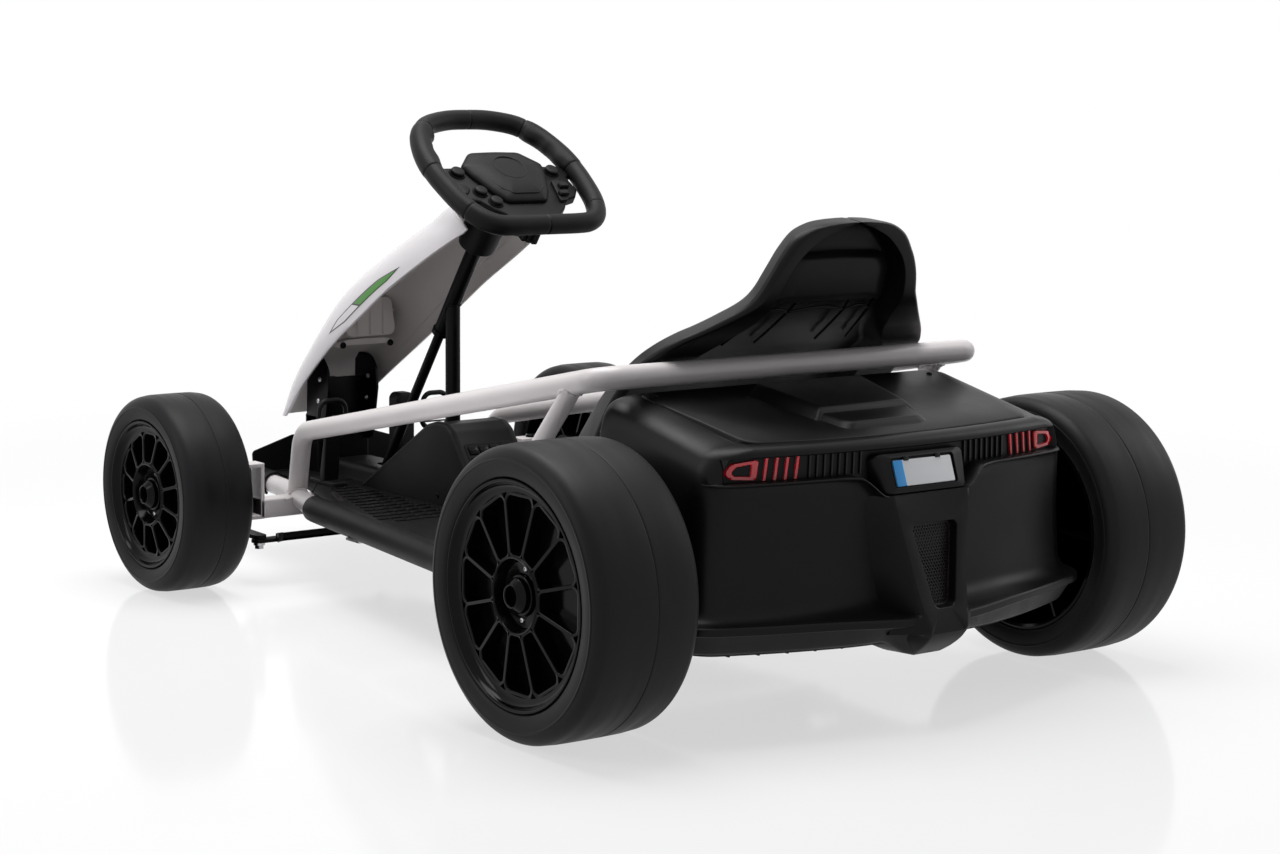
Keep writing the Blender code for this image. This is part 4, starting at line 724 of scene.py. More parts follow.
def make_grille():
    """Plate with round holes in staggered rows, at the bottom of the well."""
    pitch = 0.0036
    bm = bmesh.new()
    low_z, high_z = 0.1245, 0.208
    rows = int((high_z - low_z) / (pitch * 0.866))
    for row in range(rows):
        z = low_z + pitch * 0.866 * (row + 0.5)
        half = 0.0139 + (0.0321 - 0.0139) * (z - 0.124) / 0.0845 - 0.0016
        shift = pitch / 2 if row % 2 else 0.0
        for k in range(-10, 11):
            x = k * pitch + shift
            if abs(x) > half:
                continue
            y = axle_y(keel_face(z) - WELL + 0.0012)
            rim, hole, deep = [], [], []
            for n in range(12):
                a = 2 * pi * n / 12 + pi / 6
                reach = pitch / 2 / cos((a % (pi / 3)) - pi / 6)
                rim.append((x + reach * cos(a), y, z + reach * sin(a)))
                hole.append((x + 0.00125 * cos(a), y, z + 0.00125 * sin(a)))
                deep.append((x + 0.00125 * cos(a), y - 0.001, z + 0.00125 * sin(a)))
            skin(bm, [rim, hole, deep], caps=False)
    border = [Vector((x, axle_y(keel_face(z) - WELL + 0.0011), z)) for x, z in grille_outline(-0.0002)]
    inner = [Vector((x, axle_y(keel_face(z) - WELL + 0.0011), z)) for x, z in grille_outline(-0.0026)]
    skin(bm, [border, inner], caps=False)
    behind = [Vector((x, axle_y(keel_face(z) - WELL - 0.002), z)) for x, z in grille_outline(-0.0002)]
    cap(bm, behind)
    skin(bm, [border, behind], caps=False)
    piece("grille_plate", bm, "mesh_dark", "rear_grille", slot="grey_plastic")


HOLDER = [(0.2392, 0.1545), (0.279, 0.1402)]      # height and place of the plate holder's face


def make_plate():
    """Trapezoid box with the plate in a shallow frame."""
    tilt = atan2(HOLDER[0][1] - HOLDER[1][1], HOLDER[1][0] - HOLDER[0][0])
    middle = ((HOLDER[0][0] + HOLDER[1][0]) / 2, (HOLDER[0][1] + HOLDER[1][1]) / 2)

    def place(a, b, c):
        return Vector((a, axle_y(middle[1] - b * sin(tilt) + c * cos(tilt)),
            middle[0] + b * cos(tilt) + c * sin(tilt)))

    def ring(half_top, half_low, up, down, out, round_by=0.006):
        corners = [(-half_low, down), (half_low, down), (half_top, up), (-half_top, up)]
        return [place(p.x, p.y, out) for p in rounded(corners, round_by)]

    box = bmesh.new()
    rows = [ring(0.066, 0.058, 0.0236, -0.0225, -0.02), ring(0.064, 0.0565, 0.0232, -0.022, -0.008),
        ring(0.061, 0.055, 0.0226, -0.0214, -0.003), ring(0.058, 0.053, 0.0218, -0.0206, -0.0008),
        ring(0.056, 0.0515, 0.0211, -0.02, 0.0), ring(0.0455, 0.045, 0.0175, -0.016, 0.0, 0.004),
        ring(0.0448, 0.0443, 0.0169, -0.0154, 0.0004, 0.0035),
        ring(0.044, 0.0435, 0.0162, -0.0148, 0.0003, 0.003),
        ring(0.0436, 0.0431, 0.0158, -0.0144, -0.002, 0.003)]
    skin(box, rows)
    for x in (-0.022, 0.022):
        clip = oblong(x - 0.0035, x + 0.0035, 0.0125, 0.0172)
        prism(box, clip, -0.002, 0.0012, place, 0.0006)
    piece("plate_holder", box, "satin_black", sharp=38)
    plate = bmesh.new()
    white = rounded(oblong(-0.0275, 0.04, -0.0135, 0.0135), 0.0012, 3)
    prism(plate, [(-p.x, p.y + 0.0003) for p in white], -0.0018, 0.0003, place, 0.0003)
    strip = rounded(oblong(-0.04, -0.0275, -0.0135, 0.0135), 0.0012, 3)
    piece("plate_blank", plate, "plate_white", "number_plate")
    blue = prism(bmesh.new(), [(-p.x, p.y + 0.0003) for p in strip], -0.0018, 0.0003, place, 0.0003)
    piece("plate_strip", blue, "plate_blue", slot="plate_white")


# Lamps at the ends of the tail's recess
LAMP_FLOOR = -0.0085


def lamp_place(side):
    def place(a, b, c):
        return Vector((side * a, axle_y(panel_y(a) + LAMP_FLOOR + c), b))
    return place


def make_lamps():
    base = bmesh.new()
    for side in (1, -1):
        place = lamp_place(side)
        rows = []
        for z in (0.2602, 0.2834):
            rows.append([place(0.06 + (LAMP_END - 0.0612) * k / 40, z, 0.0008) for k in range(41)])
        for k in range(40):
            cap(base, [rows[0][k], rows[0][k + 1], rows[1][k + 1], rows[1][k]])
        for k in range(8):
            x = 0.07 + 0.0088 * k
            rib = [(x + d, z) for d, z in ((0.0014, 0.2604), (0.0036, 0.2604), (0.003, 0.2832),
                (0.0008, 0.2832))]
            prism(base, rib, 0.0, 0.0052, place, 0.0006)
    piece("lamp_bed", base, "lamp_black", "louvre_band", slot="grained_black")
    for name, side in SIDES:
        place = lamp_place(side)
        lamp = bmesh.new()
        for x in (0.148, 0.1597, 0.1714, 0.1831):
            bar = [(x + d, z) for d, z in ((0.001, 0.2606), (0.004, 0.2606), (0.0012, 0.283),
                (-0.0018, 0.283))]
            prism(lamp, bar, 0.0, 0.0056, place, 0.0007)
        outer = rounded([(0.1945, 0.2612), (0.2225, 0.2632), (0.2282, 0.2695), (0.2205, 0.2792),
            (0.1915, 0.2822)], [0.003, 0.006, 0.006, 0.008, 0.003])
        inner = rounded([(0.2, 0.2655), (0.218, 0.2668), (0.2214, 0.27), (0.216, 0.2757), (0.199, 0.2778)],
            [0.002, 0.004, 0.004, 0.005, 0.002])
        rings = []
        for loop, level in ((outer, 0.0), (outer, 0.005), (None, 0.0058), (None, 0.0058), (inner, 0.005),
                (inner, 0.0)):
            if loop is None:
                t = 0.12 if len(rings) == 2 else 0.88
                loop = [a.lerp(b, t) for a, b in zip(outer, inner)]
            rings.append([place(p.x, p.y, level) for p in loop])
        skin(lamp, rings, caps=False)
        piece(f"lamp_{name}", lamp, "red_lens", f"tail_lamp_{name}", sharp=50)


def make_deck_cover():
    """Cover on the deck with its stepped ridge."""
    cover = bmesh.new()

    def on_deck(points, lift):
        return [Vector((x, axle_y(y), deck_z(axle_y(y)) + lift)) for x, y in points]

    rows = [on_deck(lid_outline(g), h) for g, h in ((-0.0004, -0.004), (-0.0004, 0.0022), (-0.001, 0.0034),
        (-0.0022, 0.004))]
    skin(cover, rows, caps=False)
    cap(cover, rows[-1])
    cap(cover, rows[0])

    def block(front, tail, half_front, half_tail, lift, slope, corner, back_slope):
        base = [(half_front, front), (half_tail, tail), (-half_tail, tail), (-half_front, front)]
        rings = []
        for k in range(7):
            t = k / 6
            inset = slope * (t ** 0.8)
            rise = lift * sin(pi / 2 * min(t * 1.08, 1.0))
            ring = []
            for x, y in base:
                sx = x - inset * (1 if x > 0 else -1)
                sy = y - (back_slope * t if y == tail else 0.0)
                ring.append((sx, sy))
            smooth = rounded(ring, [0.001, corner, corner, 0.001])
            rings.append(on_deck([p.xy for p in smooth], 0.0038 + rise))
        skin(cover, rings)

    block(-0.034, 0.093, 0.088, 0.058, 0.006, 0.01, 0.014, 0.008)
    block(-0.034, 0.06, 0.086, 0.071, 0.0115, 0.016, 0.004, 0.012)
    for x, y in ((0.193, -0.052), (-0.193, -0.052)):
        screw(cover, on_deck([(x, y)], 0.004)[0], (0, 0.18, 1), 0.0035, 0.0016)
    piece("deck_cover", cover, "satin_black", "deck_lid", sharp=30)


# Tray under the body
SKIRT = [(0.0, 0.16), (0.086, 0.152), (0.12, 0.145), (0.17, 0.131), (0.218, 0.114), (0.24, 0.105),
    (0.26, 0.096)]


def make_tray():
    """Skirt that leans in under the flange, and the ribbed floor of the tray."""
    rows = []
    for t in (0.0, 0.5, 0.85, 0.95, 1.0):
        def height(x, t=t):
            low = 0.0895 - 0.017 * (1 - smoothstep(0.02, 0.062, abs(x)))
            return 0.112 + (low - 0.112) * min(t, 1.0)

        def relief(x, t=t):
            top = flange_y(x) - 0.006
            low = curve(SKIRT, abs(x)) + 0.004
            pull = 0.0 if t < 0.9 else (0.0008 if t < 1.0 else 0.003)
            return top + (low - top) * t - panel_y(x, 0.0) - pull
        rows.append((height, relief))
    rings = [body_ring(row) for row in rows]
    rings.append([Vector((p.x * 0.985, axle_y(0.01) + (p.y - axle_y(0.01)) * 0.975, p.z + 0.004))
        for p in rings[-1]])
    floor = [Vector((p.x, p.y, 0.087)) for p in rings[-1]]
    rings.append(floor)
    tray = skin(bmesh.new(), rings, caps=False)
    cap(tray, floor)
    for k in range(-7, 8):
        x = k * 0.03
        front, rear = -0.07, curve(SKIRT, abs(x)) - 0.022
        prism(tray, oblong(x - 0.001, x + 0.001, front, rear), 0.088, 0.0815,
            lambda a, b, c: Vector((a, axle_y(b), c)))
    for k in range(6):
        y = -0.06 + 0.032 * k
        half = 0.232 if y < 0.06 else 0.232 - (y - 0.06) * 2.6
        prism(tray, oblong(-half, half, y - 0.001, y + 0.001), 0.088, 0.082,
            lambda a, b, c: Vector((a, axle_y(b), c)))
    piece("tray", tray, "grey_plastic", "undertray", sharp=40)


def fill_between(bm, outer, inner):
    """Faces between two closed rings of points that lie on one surface."""
    rings = []
    for ring in (outer, inner):
        verts = [bm.verts.new(p) for p in ring]
        edges = [bm.edges.new((verts[i - 1], verts[i])) for i in range(len(verts))]
        rings += edges
    bmesh.ops.triangle_fill(bm, edges=rings, use_beauty=True, use_dissolve=False)


# Steel frame. Places in the cockpit are behind the front axle.

TUBE_RADIUS = 0.0125
FRAME_Z = 0.1
PAN_TOP = 0.108
PAN_NOSE, PAN_TAIL = -0.165, -0.24          # behind the front and the rear axle
WRAP_GAP = (-0.11, 0.085)
POST_RADIUS = 0.01
HUMP_HALF, HUMP_RISE = 0.032, 0.022          # raised middle of the pan where the shaft goes in
HUMP_ENDS = (-0.11, 0.024)


def front_y(y):
    return FRONT_AXLE_Y + y


def on_side(points, side):
    return [Vector((side * p[0], p[1], p[2])) for p in points]


def frame_path():
    corners = [(0.106, front_y(-0.193)), (0.123, front_y(-0.065)), (0.172, front_y(0.095)),
        (0.234, axle_y(-0.33)), (0.214, axle_y(-0.13)), (0.214, axle_y(0.085))]
    return fillet([(x, y, FRAME_Z) for x, y in corners], 0.12, 8)


FRAME_PATH = frame_path()


def frame_x(y):
    for near, far in zip(FRAME_PATH, FRAME_PATH[1:]):
        if near.y <= y <= far.y:
            return near.x + (far.x - near.x) * (y - near.y) / (far.y - near.y)
    return FRAME_PATH[0].x if y < FRAME_PATH[0].y else FRAME_PATH[-1].x


def bead(bm, points, size, closed=True, material=0):
    """Rippled weld bead along a path."""
    loops = []
    for k, (p, side, up, _) in enumerate(frames_along(points, closed)):
        reach = size * (1 + 0.22 * sin(k * pi / 2.5))
        turns = circle(8)
        loops.append([p + side * reach * cos(a) + up * reach * sin(a) for a in turns])
    return skin(bm, loops, closed, material=material)


def weld(bm, start, end, radius, axis, big, size=0.002):
    """Bead where a tube from start to end meets a tube of radius big about the axis."""
    start, end, origin = Vector(start), Vector(end), Vector(axis[0])
    run = (end - start).normalized()
    side = run.orthogonal().normalized()
    up = run.cross(side)
    along = (Vector(axis[1]) - origin).normalized()
    points = []
    for k in range(60):
        a = 2 * pi * k / 60
        q = start + side * radius * cos(a) + up * radius * sin(a)
        w = q - origin
        w = w - along * w.dot(along)
        d = run - along * run.dot(along)
        reach = w.dot(d) ** 2 - d.dot(d) * (w.dot(w) - big * big)
        points.append(q + run * ((-w.dot(d) - sqrt(max(reach, 0.0))) / d.dot(d)))
    return bead(bm, points, size)


def hoop_points():
    foot_y = front_y(-0.01)
    foot = Vector((frame_x(foot_y), foot_y, FRAME_Z))
    return foot, Vector((0.151, front_y(0.025), 0.19)), Vector((0.265, axle_y(-0.055), 0.349))


def make_frame():
    foot, corner, rear = hoop_points()
    inner = Vector((rear.x - 0.054, rear.y, rear.z))
    rail_path = fillet([foot, corner, rear, inner], 0.045, 14)
    share = (axle_y(-0.104) - corner.y) / (rear.y - corner.y)
    post_top = corner.lerp(rear, share)
    elbow = Vector((post_top.x, axle_y(-0.185), 0.247))
    ankle = Vector((frame_x(elbow.y), elbow.y - 0.02, FRAME_Z + 0.004))
    beads = bmesh.new()
    for name, side in SIDES:
        piece(f"side_tube_{name}", tube(on_side(FRAME_PATH, side), TUBE_RADIUS), "white_paint",
            f"frame_tube_{name}")
        piece(f"rail_{name}", tube(on_side(rail_path, side), TUBE_RADIUS, 36), "white_paint",
            f"hoop_rail_{name}")
        post = tube(on_side(fillet([post_top, elbow, ankle], 0.03, 10), side), POST_RADIUS)
        piece(f"post_{name}", post, "white_paint", f"hoop_post_{name}")
        flip = [on_side(pair, side) for pair in ((corner, foot), (elbow, post_top), (elbow, ankle),
            (corner, rear), FRAME_PATH[2:4])]
        foot_axis = on_side([(frame_x(y), y, FRAME_Z) for y in (foot.y - 0.01, foot.y + 0.01)], side)
        ankle_axis = on_side([(frame_x(y), y, FRAME_Z) for y in (ankle.y - 0.01, ankle.y + 0.01)], side)
        weld(beads, *flip[0], TUBE_RADIUS, foot_axis, TUBE_RADIUS)
        weld(beads, *flip[1], POST_RADIUS, flip[3], TUBE_RADIUS)
        weld(beads, *flip[2], POST_RADIUS, ankle_axis, TUBE_RADIUS)
        for y in (-0.0125, 0.0125):
            line = [(frame_x(front_y(y)) + x, front_y(y) + 0.0003, 0.1045 - abs(x) * 0.12)
                for x in [(k - 20) * 0.0012 for k in range(41)] if abs(x) > 0.0085]
            for part in (line[:len(line) // 2], line[len(line) // 2:]):
                bead(beads, on_side(part, side), 0.0016, closed=False)
    bend = tube([(-inner.x, inner.y, inner.z), (inner.x, inner.y, inner.z)], TUBE_RADIUS, 36)
    piece("rail_across", bend, "white_paint", "hoop_rail_rear")
    piece("weld_beads", beads, "white_paint")
    for name, y in (("front", front_y(-0.18)), ("rear", axle_y(-0.14))):
        half = frame_x(y) - TUBE_RADIUS
        piece(f"cross_tube_{name}", tube([(-half, y, FRAME_Z), (half, y, FRAME_Z)], TUBE_RADIUS),
            "black_steel", f"{name}_cross_tube")


# Floor pan

def half_ring(x0):
    """Half of the pan's section where it rolls over the side tube, from the middle outwards."""
    outer = [(x0 - 0.034, PAN_TOP), (x0 - 0.026, PAN_TOP + 0.0001), (x0 - 0.0212, PAN_TOP + 0.0007),
        (x0 - 0.0172, PAN_TOP + 0.0024)]
    outer += [(x0 + 1.06 * x, FRAME_Z + z) for x, z in arc((0, 0), 0.0167, 136, -50, 26)]
    inner = [(x0 + 1.06 * x, FRAME_Z + z) for x, z in arc((0, 0), 0.0137, -50, 128, 16)]
    inner += [(x0 - 0.0215, PAN_TOP - 0.003), (x0 - 0.034, PAN_TOP - 0.003)]
    return outer + inner


def pan_ring(y, half):
    return [Vector((x, y, z)) for x, z in half] + [Vector((-x, y, z)) for x, z in reversed(half)]


def ribbon(points, width):
    """Outline of a thin strip along a flat polyline."""
    flat = [Vector((p[0], p[1])) for p in points]
    left, right = [], []
    for i, p in enumerate(flat):
        run = (flat[min(i + 1, len(flat) - 1)] - flat[max(i - 1, 0)]).normalized()
        normal = Vector((-run.y, run.x)) * width / 2
        left.append(p + normal)
        right.append(p - normal)
    return left + right[::-1]


def make_pan():
    pan = bmesh.new()
    low, high = front_y(WRAP_GAP[0]), front_y(WRAP_GAP[1])
    nose, tail = front_y(PAN_NOSE), axle_y(PAN_TAIL)
    for start, end, steps in ((nose, low, 6), (high, tail, 40)):
        rings = []
        for k in range(steps + 1):
            y = start + (end - start) * k / steps
            rings.append(pan_ring(y, half_ring(frame_x(y))))
        skin(pan, rings)
    rings = []
    for k in range(13):
        y = low + (high - low) * k / 12
        edge = frame_x(y) - 0.019
        half = [(edge - 0.015, PAN_TOP), (edge - 0.0012, PAN_TOP), (edge - 0.0003, PAN_TOP - 0.0004),
            (edge, PAN_TOP - 0.0015), (edge - 0.0004, PAN_TOP - 0.0028), (edge - 0.015, PAN_TOP - 0.003)]
        rings.append(pan_ring(y, half))
    skin(pan, rings)
    # hump where the shaft goes in
    top = PAN_TOP + HUMP_RISE
    sides = oblong(-HUMP_HALF, HUMP_HALF, front_y(HUMP_ENDS[0]), front_y(HUMP_ENDS[1]))

    def level(grow, z):
        corners = [(x + grow * (1 if x > 0 else -1), y + grow * (1 if k > 1 else -1))
            for k, (x, y) in enumerate(sides)]
        return [Vector((p.x, p.y, z)) for p in rounded(corners, 0.012 + grow)]

    rows = [level(0.004, PAN_TOP), level(0.0014, PAN_TOP + 0.0008), level(0.0002, PAN_TOP + 0.004)]
    rows += [level(-0.009 * (1 - cos(pi / 2 * k / 5)), top - 0.009 + 0.009 * sin(pi / 2 * k / 5))
        for k in range(6)]
    skin(pan, rows, caps=False)
    hole = [Vector((0.01 * cos(a), front_y(-0.014) + 0.019 * sin(a), top)) for a in circle(32)]
    fill_between(pan, rows[-1], hole)
    skin(pan, [hole, [p - Vector((0, 0, 0.006)) for p in hole]], caps=False)
    # low step across the floor in front of the grip field
    step = [(0.128, 0.01), (0.083, -0.055), (0.032, -0.046), (-0.032, -0.046), (-0.083, -0.055),
        (-0.128, 0.01)]
    line = fillet([(x, front_y(y), PAN_TOP) for x, y in step], 0.05, 6)
    tube(line, 0.0011, 10, bm=pan)
    # grip marks in two fields
    mark = ribbon(fillet([(-0.0082, 0.004), (-0.0058, 0.0), (0.0058, 0.0), (0.0082, -0.004)], 0.001, 2),
        0.0026)
    for side in (1, -1):
        for row in range(-2, 11):
            for column in range(-1, 8):
                x = 0.083 + 0.0063 * row - 0.0187 * column
                y = front_y(0.052) + 0.0206 * row
                if not 0.06 < x < frame_x(y) - 0.033 or y > front_y(0.26):
                    continue
                prism(pan, mark, PAN_TOP - 0.001, PAN_TOP + 0.0017,
                    lambda a, b, c, x=x, y=y, s=side: Vector((s * (x + a), y + b, c)), 0.0006)
    # rolled slots beside the sleeves' front ends
    for side in (1, -1):
        slot = rounded([(0.105, 0.03), (0.112, 0.028), (0.137, 0.092), (0.13, 0.096)], 0.003, 4)
        prism(pan, slot, PAN_TOP - 0.0008, PAN_TOP + 0.0005,
            lambda a, b, c, s=side: Vector((s * a, front_y(b), c)), 0.0003, material=1)
    piece("pan", pan, "grained_black", "floor_pan", sharp=40, extra=("mesh_dark",))


def make_toe_board():
    board = bmesh.new()
    y = front_y(-0.1645)
    edge = frame_x(y)
    top = [(edge + 0.01, 0.118), (edge + 0.0115, 0.138), (0.06, 0.1565), (0.03, 0.1575)]
    outline = [(edge - 0.02, PAN_TOP + 0.0005)] + top
    prism(board, rounded(mirrored(outline), 0.006, 4), 0.0, 0.003,
        lambda a, b, c: Vector((a, y + 0.003 - c, b)), 0.001)
    foot = [Vector((x, y + 0.003, PAN_TOP)) for x in (-edge + 0.02, edge - 0.02)]
    tube(foot, 0.0022, 10, bm=board)
    piece("front_board", board, "grained_black", "toe_board")


# Console and pedals

CONSOLE_HALF = 0.048


def console_outline(inset):
    """Side outline moved inwards, its foot kept on the pan."""
    base = [(-0.005 + inset * 1.6, 0.0), (0.157 + inset * 0.35, 0.1 - inset * 0.9),
        (0.177, 0.1055 - inset), (0.198, 0.105 - inset), (0.214 - inset * 0.6, 0.096 - inset * 0.6),
        (0.264 - inset * 0.8, 0.031 - inset * 0.5), (0.292 - inset, 0.006), (0.294 - inset, 0.0)]
    return [(p.x, p.y) for p in rounded(base, [0, 0.016, 0.02, 0.012, 0.02, 0.02, 0.002, 0], 8)]


def make_console():
    base = PAN_TOP + 0.0002
    console = bmesh.new()
    rows = []
    for sign in (-1, 1):
        levels = [(0.048, 0.0085), (0.0478, 0.007)]
        levels += [(CONSOLE_HALF - 0.005 + 0.005 * cos(pi / 2 * k / 6), 0.005 * (1 - sin(pi / 2 * k / 6)))
            for k in range(7)]
        levels += [(0.0395, 0.0), (0.038, 0.0003), (0.037, 0.001)]
        for x, inset in (levels if sign < 0 else reversed(levels)):
            rows.append([Vector((sign * x, front_y(y), base + z)) for y, z in console_outline(inset)])
    skin(console, rows)
    tilt = radians(37.6)
    y0, z0 = 0.234, base + 0.066

    def on_slope(a, b, c):
        return Vector((a, front_y(y0 - b * sin(tilt) + c * cos(tilt)), z0 + b * cos(tilt) + c * sin(tilt)))

    frame_line = rounded(oblong(-0.035, 0.035, -0.018, 0.018), 0.003, 4)
    inner = rounded(oblong(-0.0325, 0.0325, -0.0155, 0.0155), 0.002, 4)
    rings = [[on_slope(p.x, p.y, c) for p in line]
        for line, c in ((frame_line, -0.002), (frame_line, 0.002), (inner, 0.002), (inner, 0.0002))]
    skin(console, rings, caps=False)
    cap(console, rings[-1])
    for a in (-0.024, -0.008, 0.008, 0.024):
        for b in (-0.0078, 0.0078):
            key = oblong(a - 0.0064, a + 0.0064, b - 0.0062, b + 0.0062)
            prism(console, rounded(key, 0.001, 3), -0.001, 0.0034, on_slope, 0.001, material=1)
            dash = oblong(a - 0.0026, a + 0.0026, b - 0.0005, b + 0.0005)
            prism(console, dash, 0.003, 0.0036, on_slope, 0.0001, material=2)
    for side in (1, -1):
        screw(console, (side * 0.0478, front_y(0.185), base + 0.012), (side, 0, 0), 0.0035, 0.0012,
            material=1)
    piece("console_box", console, "grained_black", "console", sharp=40,
        extra=("gloss_black", "grey_plastic"))


def make_pedal_pieces():
    base = PAN_TOP + 0.0002
    for name, x in (("go", -0.08), ("brake", 0.08)):
        y = front_y(-0.016)
        pedal = bmesh.new()
        foot = rounded(oblong(-0.011, 0.011, -0.048, 0.018), 0.004, 4)
        prism(pedal, foot, 0.0, 0.006, lambda a, b, c: Vector((x + a, y + b, base + c)), 0.0015)
        lever = [(y - 0.022, 0.004), (y - 0.008, 0.004), (y - 0.001, 0.068), (y - 0.007, 0.068)]
        rows = []
        for s, grow in ((-1, -0.0012), (-1, 0.0), (1, 0.0), (1, -0.0012)):
            out = 0.0105 if abs(grow) < 1e-6 else 0.0112
            rows.append([Vector((x + s * out, p[0] + (grow if k in (1, 2) else -grow), base + p[1]))
                for k, p in enumerate(lever)])
        skin(pedal, rows)
        corners = [(x - 0.0225, 0.0655), (x + 0.0225, 0.0655), (x + 0.0185, 0.1125), (x - 0.0185, 0.1125)]
        loop = rounded([(a, y - 0.004, base + b) for a, b in corners], 0.013, 8)
        rings = []
        for p in loop:
            rings.append([p + Vector((0, 0.003 * cos(a), 0))
                + (p - Vector((x, p.y, base + 0.089))).normalized() * 0.0035 * sin(a) for a in circle(14)])
        skin(pedal, rings, closed=True)
        tube([(x - 0.018, y - 0.004, base + 0.074), (x + 0.018, y - 0.004, base + 0.074)], 0.0012, 8,
            bm=pedal)
        piece(f"{name}_pedal", pedal, "grained_black", f"pedal_{name}")
    block = bmesh.new()
    outline = rounded(oblong(-0.046, -0.016, 0.0, 0.116), [0.001, 0.001, 0.009, 0.009])
    prism(block, outline, 0.0, 0.018, lambda a, b, c: Vector((a, front_y(-0.034) + c, base + b)), 0.004)
    piece("pedal_switch", block, "grained_black")


# Fairing: height, rear edge and crown behind the front axle, half width

FAIRING = [(0.178, -0.193, -0.222, 0.053), (0.2305, -0.125, -0.188, 0.064), (0.2905, -0.036, -0.13, 0.073),
    (0.345, 0.0525, -0.076, 0.0745), (0.381, 0.112, -0.024, 0.0735), (0.4225, 0.191, 0.054, 0.07),
    (0.448, 0.24, 0.104, 0.064), (0.4614, 0.262, 0.131, 0.058), (0.47, 0.243, 0.148, 0.053),
    (0.48, 0.2155, 0.168, 0.045), (0.49, 0.192, 0.184, 0.028)]
SHELL = 0.0035
STREAK = [(0.306, 0.03), (0.35, 0.033), (0.408, 0.03)]      # height, distance ahead of the rear edge


def fairing_row(z):
    return [curve([(row[0], row[k]) for row in FAIRING], z) for k in (1, 2, 3)]


def fairing_point(z, turn, inset, back=0.0):
    edge, crown, half = fairing_row(z)
    wide, depth = half - inset, edge - crown - inset
    c = cos(turn)
    x = wide * abs(c) ** 0.7 * (1 if c > 0 else -1)
    return Vector((x, front_y(edge + back - depth * sin(turn) ** 0.9), z))


def make_fairing():
    fairing = bmesh.new()
    heights = [0.178 + (0.49 - 0.178) * (k / 56) for k in range(57)]
    turns = [pi * k / 44 for k in range(45)]

    def shell_ring(z):
        outer = [fairing_point(z, a, 0.0) for a in turns]
        inner = [fairing_point(z, a, SHELL) for a in turns]
        lip_left = [outer[0] + Vector((-0.0006, 0.001, 0)), inner[0] + Vector((0.0008, 0.001, 0))]
        lip_right = [inner[-1] + Vector((-0.0008, 0.001, 0)), outer[-1] + Vector((0.0006, 0.001, 0))]
        return outer, inner, lip_left, lip_right

    loops = []
    for z in heights:
        outer, inner, lip_left, lip_right = shell_ring(z)
        loops.append(outer + lip_right[::-1] + inner[::-1] + lip_left[::-1])
    count = len(loops[0])
    rings = [[fairing.verts.new(p) for p in loop] for loop in loops]
    # the inner faces take the greyer copy of the white shell, which is painted shade
    for near, far in zip(rings, rings[1:]):
        for i in range(count):
            j = (i + 1) % count
            face = fairing.faces.new((near[i], near[j], far[j], far[i]))
            face.material_index = 1 if len(turns) + 1 <= i < 2 * len(turns) + 1 else 0
    fairing.faces.new(rings[0])
    fairing.faces.new(rings[-1])
    for turn in (0.3, pi - 0.3):
        line = [fairing_point(0.2 + 0.006 * k, turn, SHELL + 0.0001) for k in range(44)]
        tube(line, 0.0009, 6, bm=fairing, material=1)
    piece("fairing_shell", fairing, "white_shell", "fairing", sharp=50, extra=("white_shell_painted_shade",))


def make_lamp_box():
    """Ribbed box behind the fairing's crown, with its strap and screws."""
    box = bmesh.new()

    def on_wall(a, b, c):
        """Across, height, share of the way from the crown's inside to the box's rear face."""
        front = fairing_row(b)[1] + SHELL + 0.004 + a ** 2 * 6.0
        return Vector((a, front_y(front + (-0.055 - front) * c), b))

    shape = rounded([(-0.04, 0.299), (0.036, 0.299), (0.04, 0.325), (0.024, 0.35), (-0.032, 0.35)], 0.01)
    prism(box, shape, 0.0, 1.0, on_wall, 0.003)
    for a in (-0.02, 0.0, 0.02):
        prism(box, oblong(a - 0.001, a + 0.001, 0.301, 0.348), 0.9, 1.04, on_wall)
    prism(box, oblong(-0.037, 0.036, 0.331, 0.333), 0.9, 1.04, on_wall)
    strap = [(0.042, 0.291), (0.028, 0.2945), (-0.028, 0.2945), (-0.042, 0.291), (-0.042, 0.284),
        (-0.028, 0.2865), (0.028, 0.2865), (0.042, 0.284)]
    prism(box, strap, 0.6, 0.84, on_wall, 0.001)
    # the box wears the greyer copy of the white shell, painted shade for its place behind the crown
    piece("lamp_box", box, "white_shell_painted_shade", slot="white_shell", sharp=35)
    bolts = bmesh.new()
    for a in (-0.037, 0.037):
        screw(bolts, on_wall(a, 0.287, 0.84), (0, 1, 0.2), 0.0045, 0.003)
    piece("lamp_box_screws", bolts, "black_steel")


def make_streaks():
    """Plain two-tone streak with a black edge on each flank of the fairing."""
    streak = bmesh.new()
    low_z, high_z, cols = STREAK[0][0], STREAK[-1][0], 48
    for side in (1, -1):
        for mat, first, last, grow in ((0, 0.0, 1.0, 0.0), (2, 0.03, 0.43, -0.003),
                (1, 0.45, 0.97, -0.0032)):
            grid = []
            for k in range(cols + 1):
                t = first + (last - first) * k / cols
                z = low_z + (high_z - low_z) * t
                taper = max(0.0125 * min(1.0, 5 * t, 5 * (1 - t)) + grow, 0.0001)
                row = []
                for n in range(5):
                    edge, crown, _ = fairing_row(z)
                    back = curve([(a, b) for a, b in STREAK], z) + (n / 2 - 1) * taper
                    turn = asin(min(max((back / (edge - crown)), 0.0), 1.0) ** (1 / 0.9))
                    row.append(fairing_point(z, turn if side > 0 else pi - turn,
                        -0.00025 - (0.00012 if mat else 0.0)))
                grid.append([streak.verts.new(p) for p in row])
            for near, far in zip(grid, grid[1:]):
                for n in range(4):
                    face = streak.faces.new((near[n], near[n + 1], far[n + 1], far[n]))
                    face.material_index = mat
    piece("streaks", streak, "accent_black", slot="white_shell", extra=("accent_green", "white_shell"))


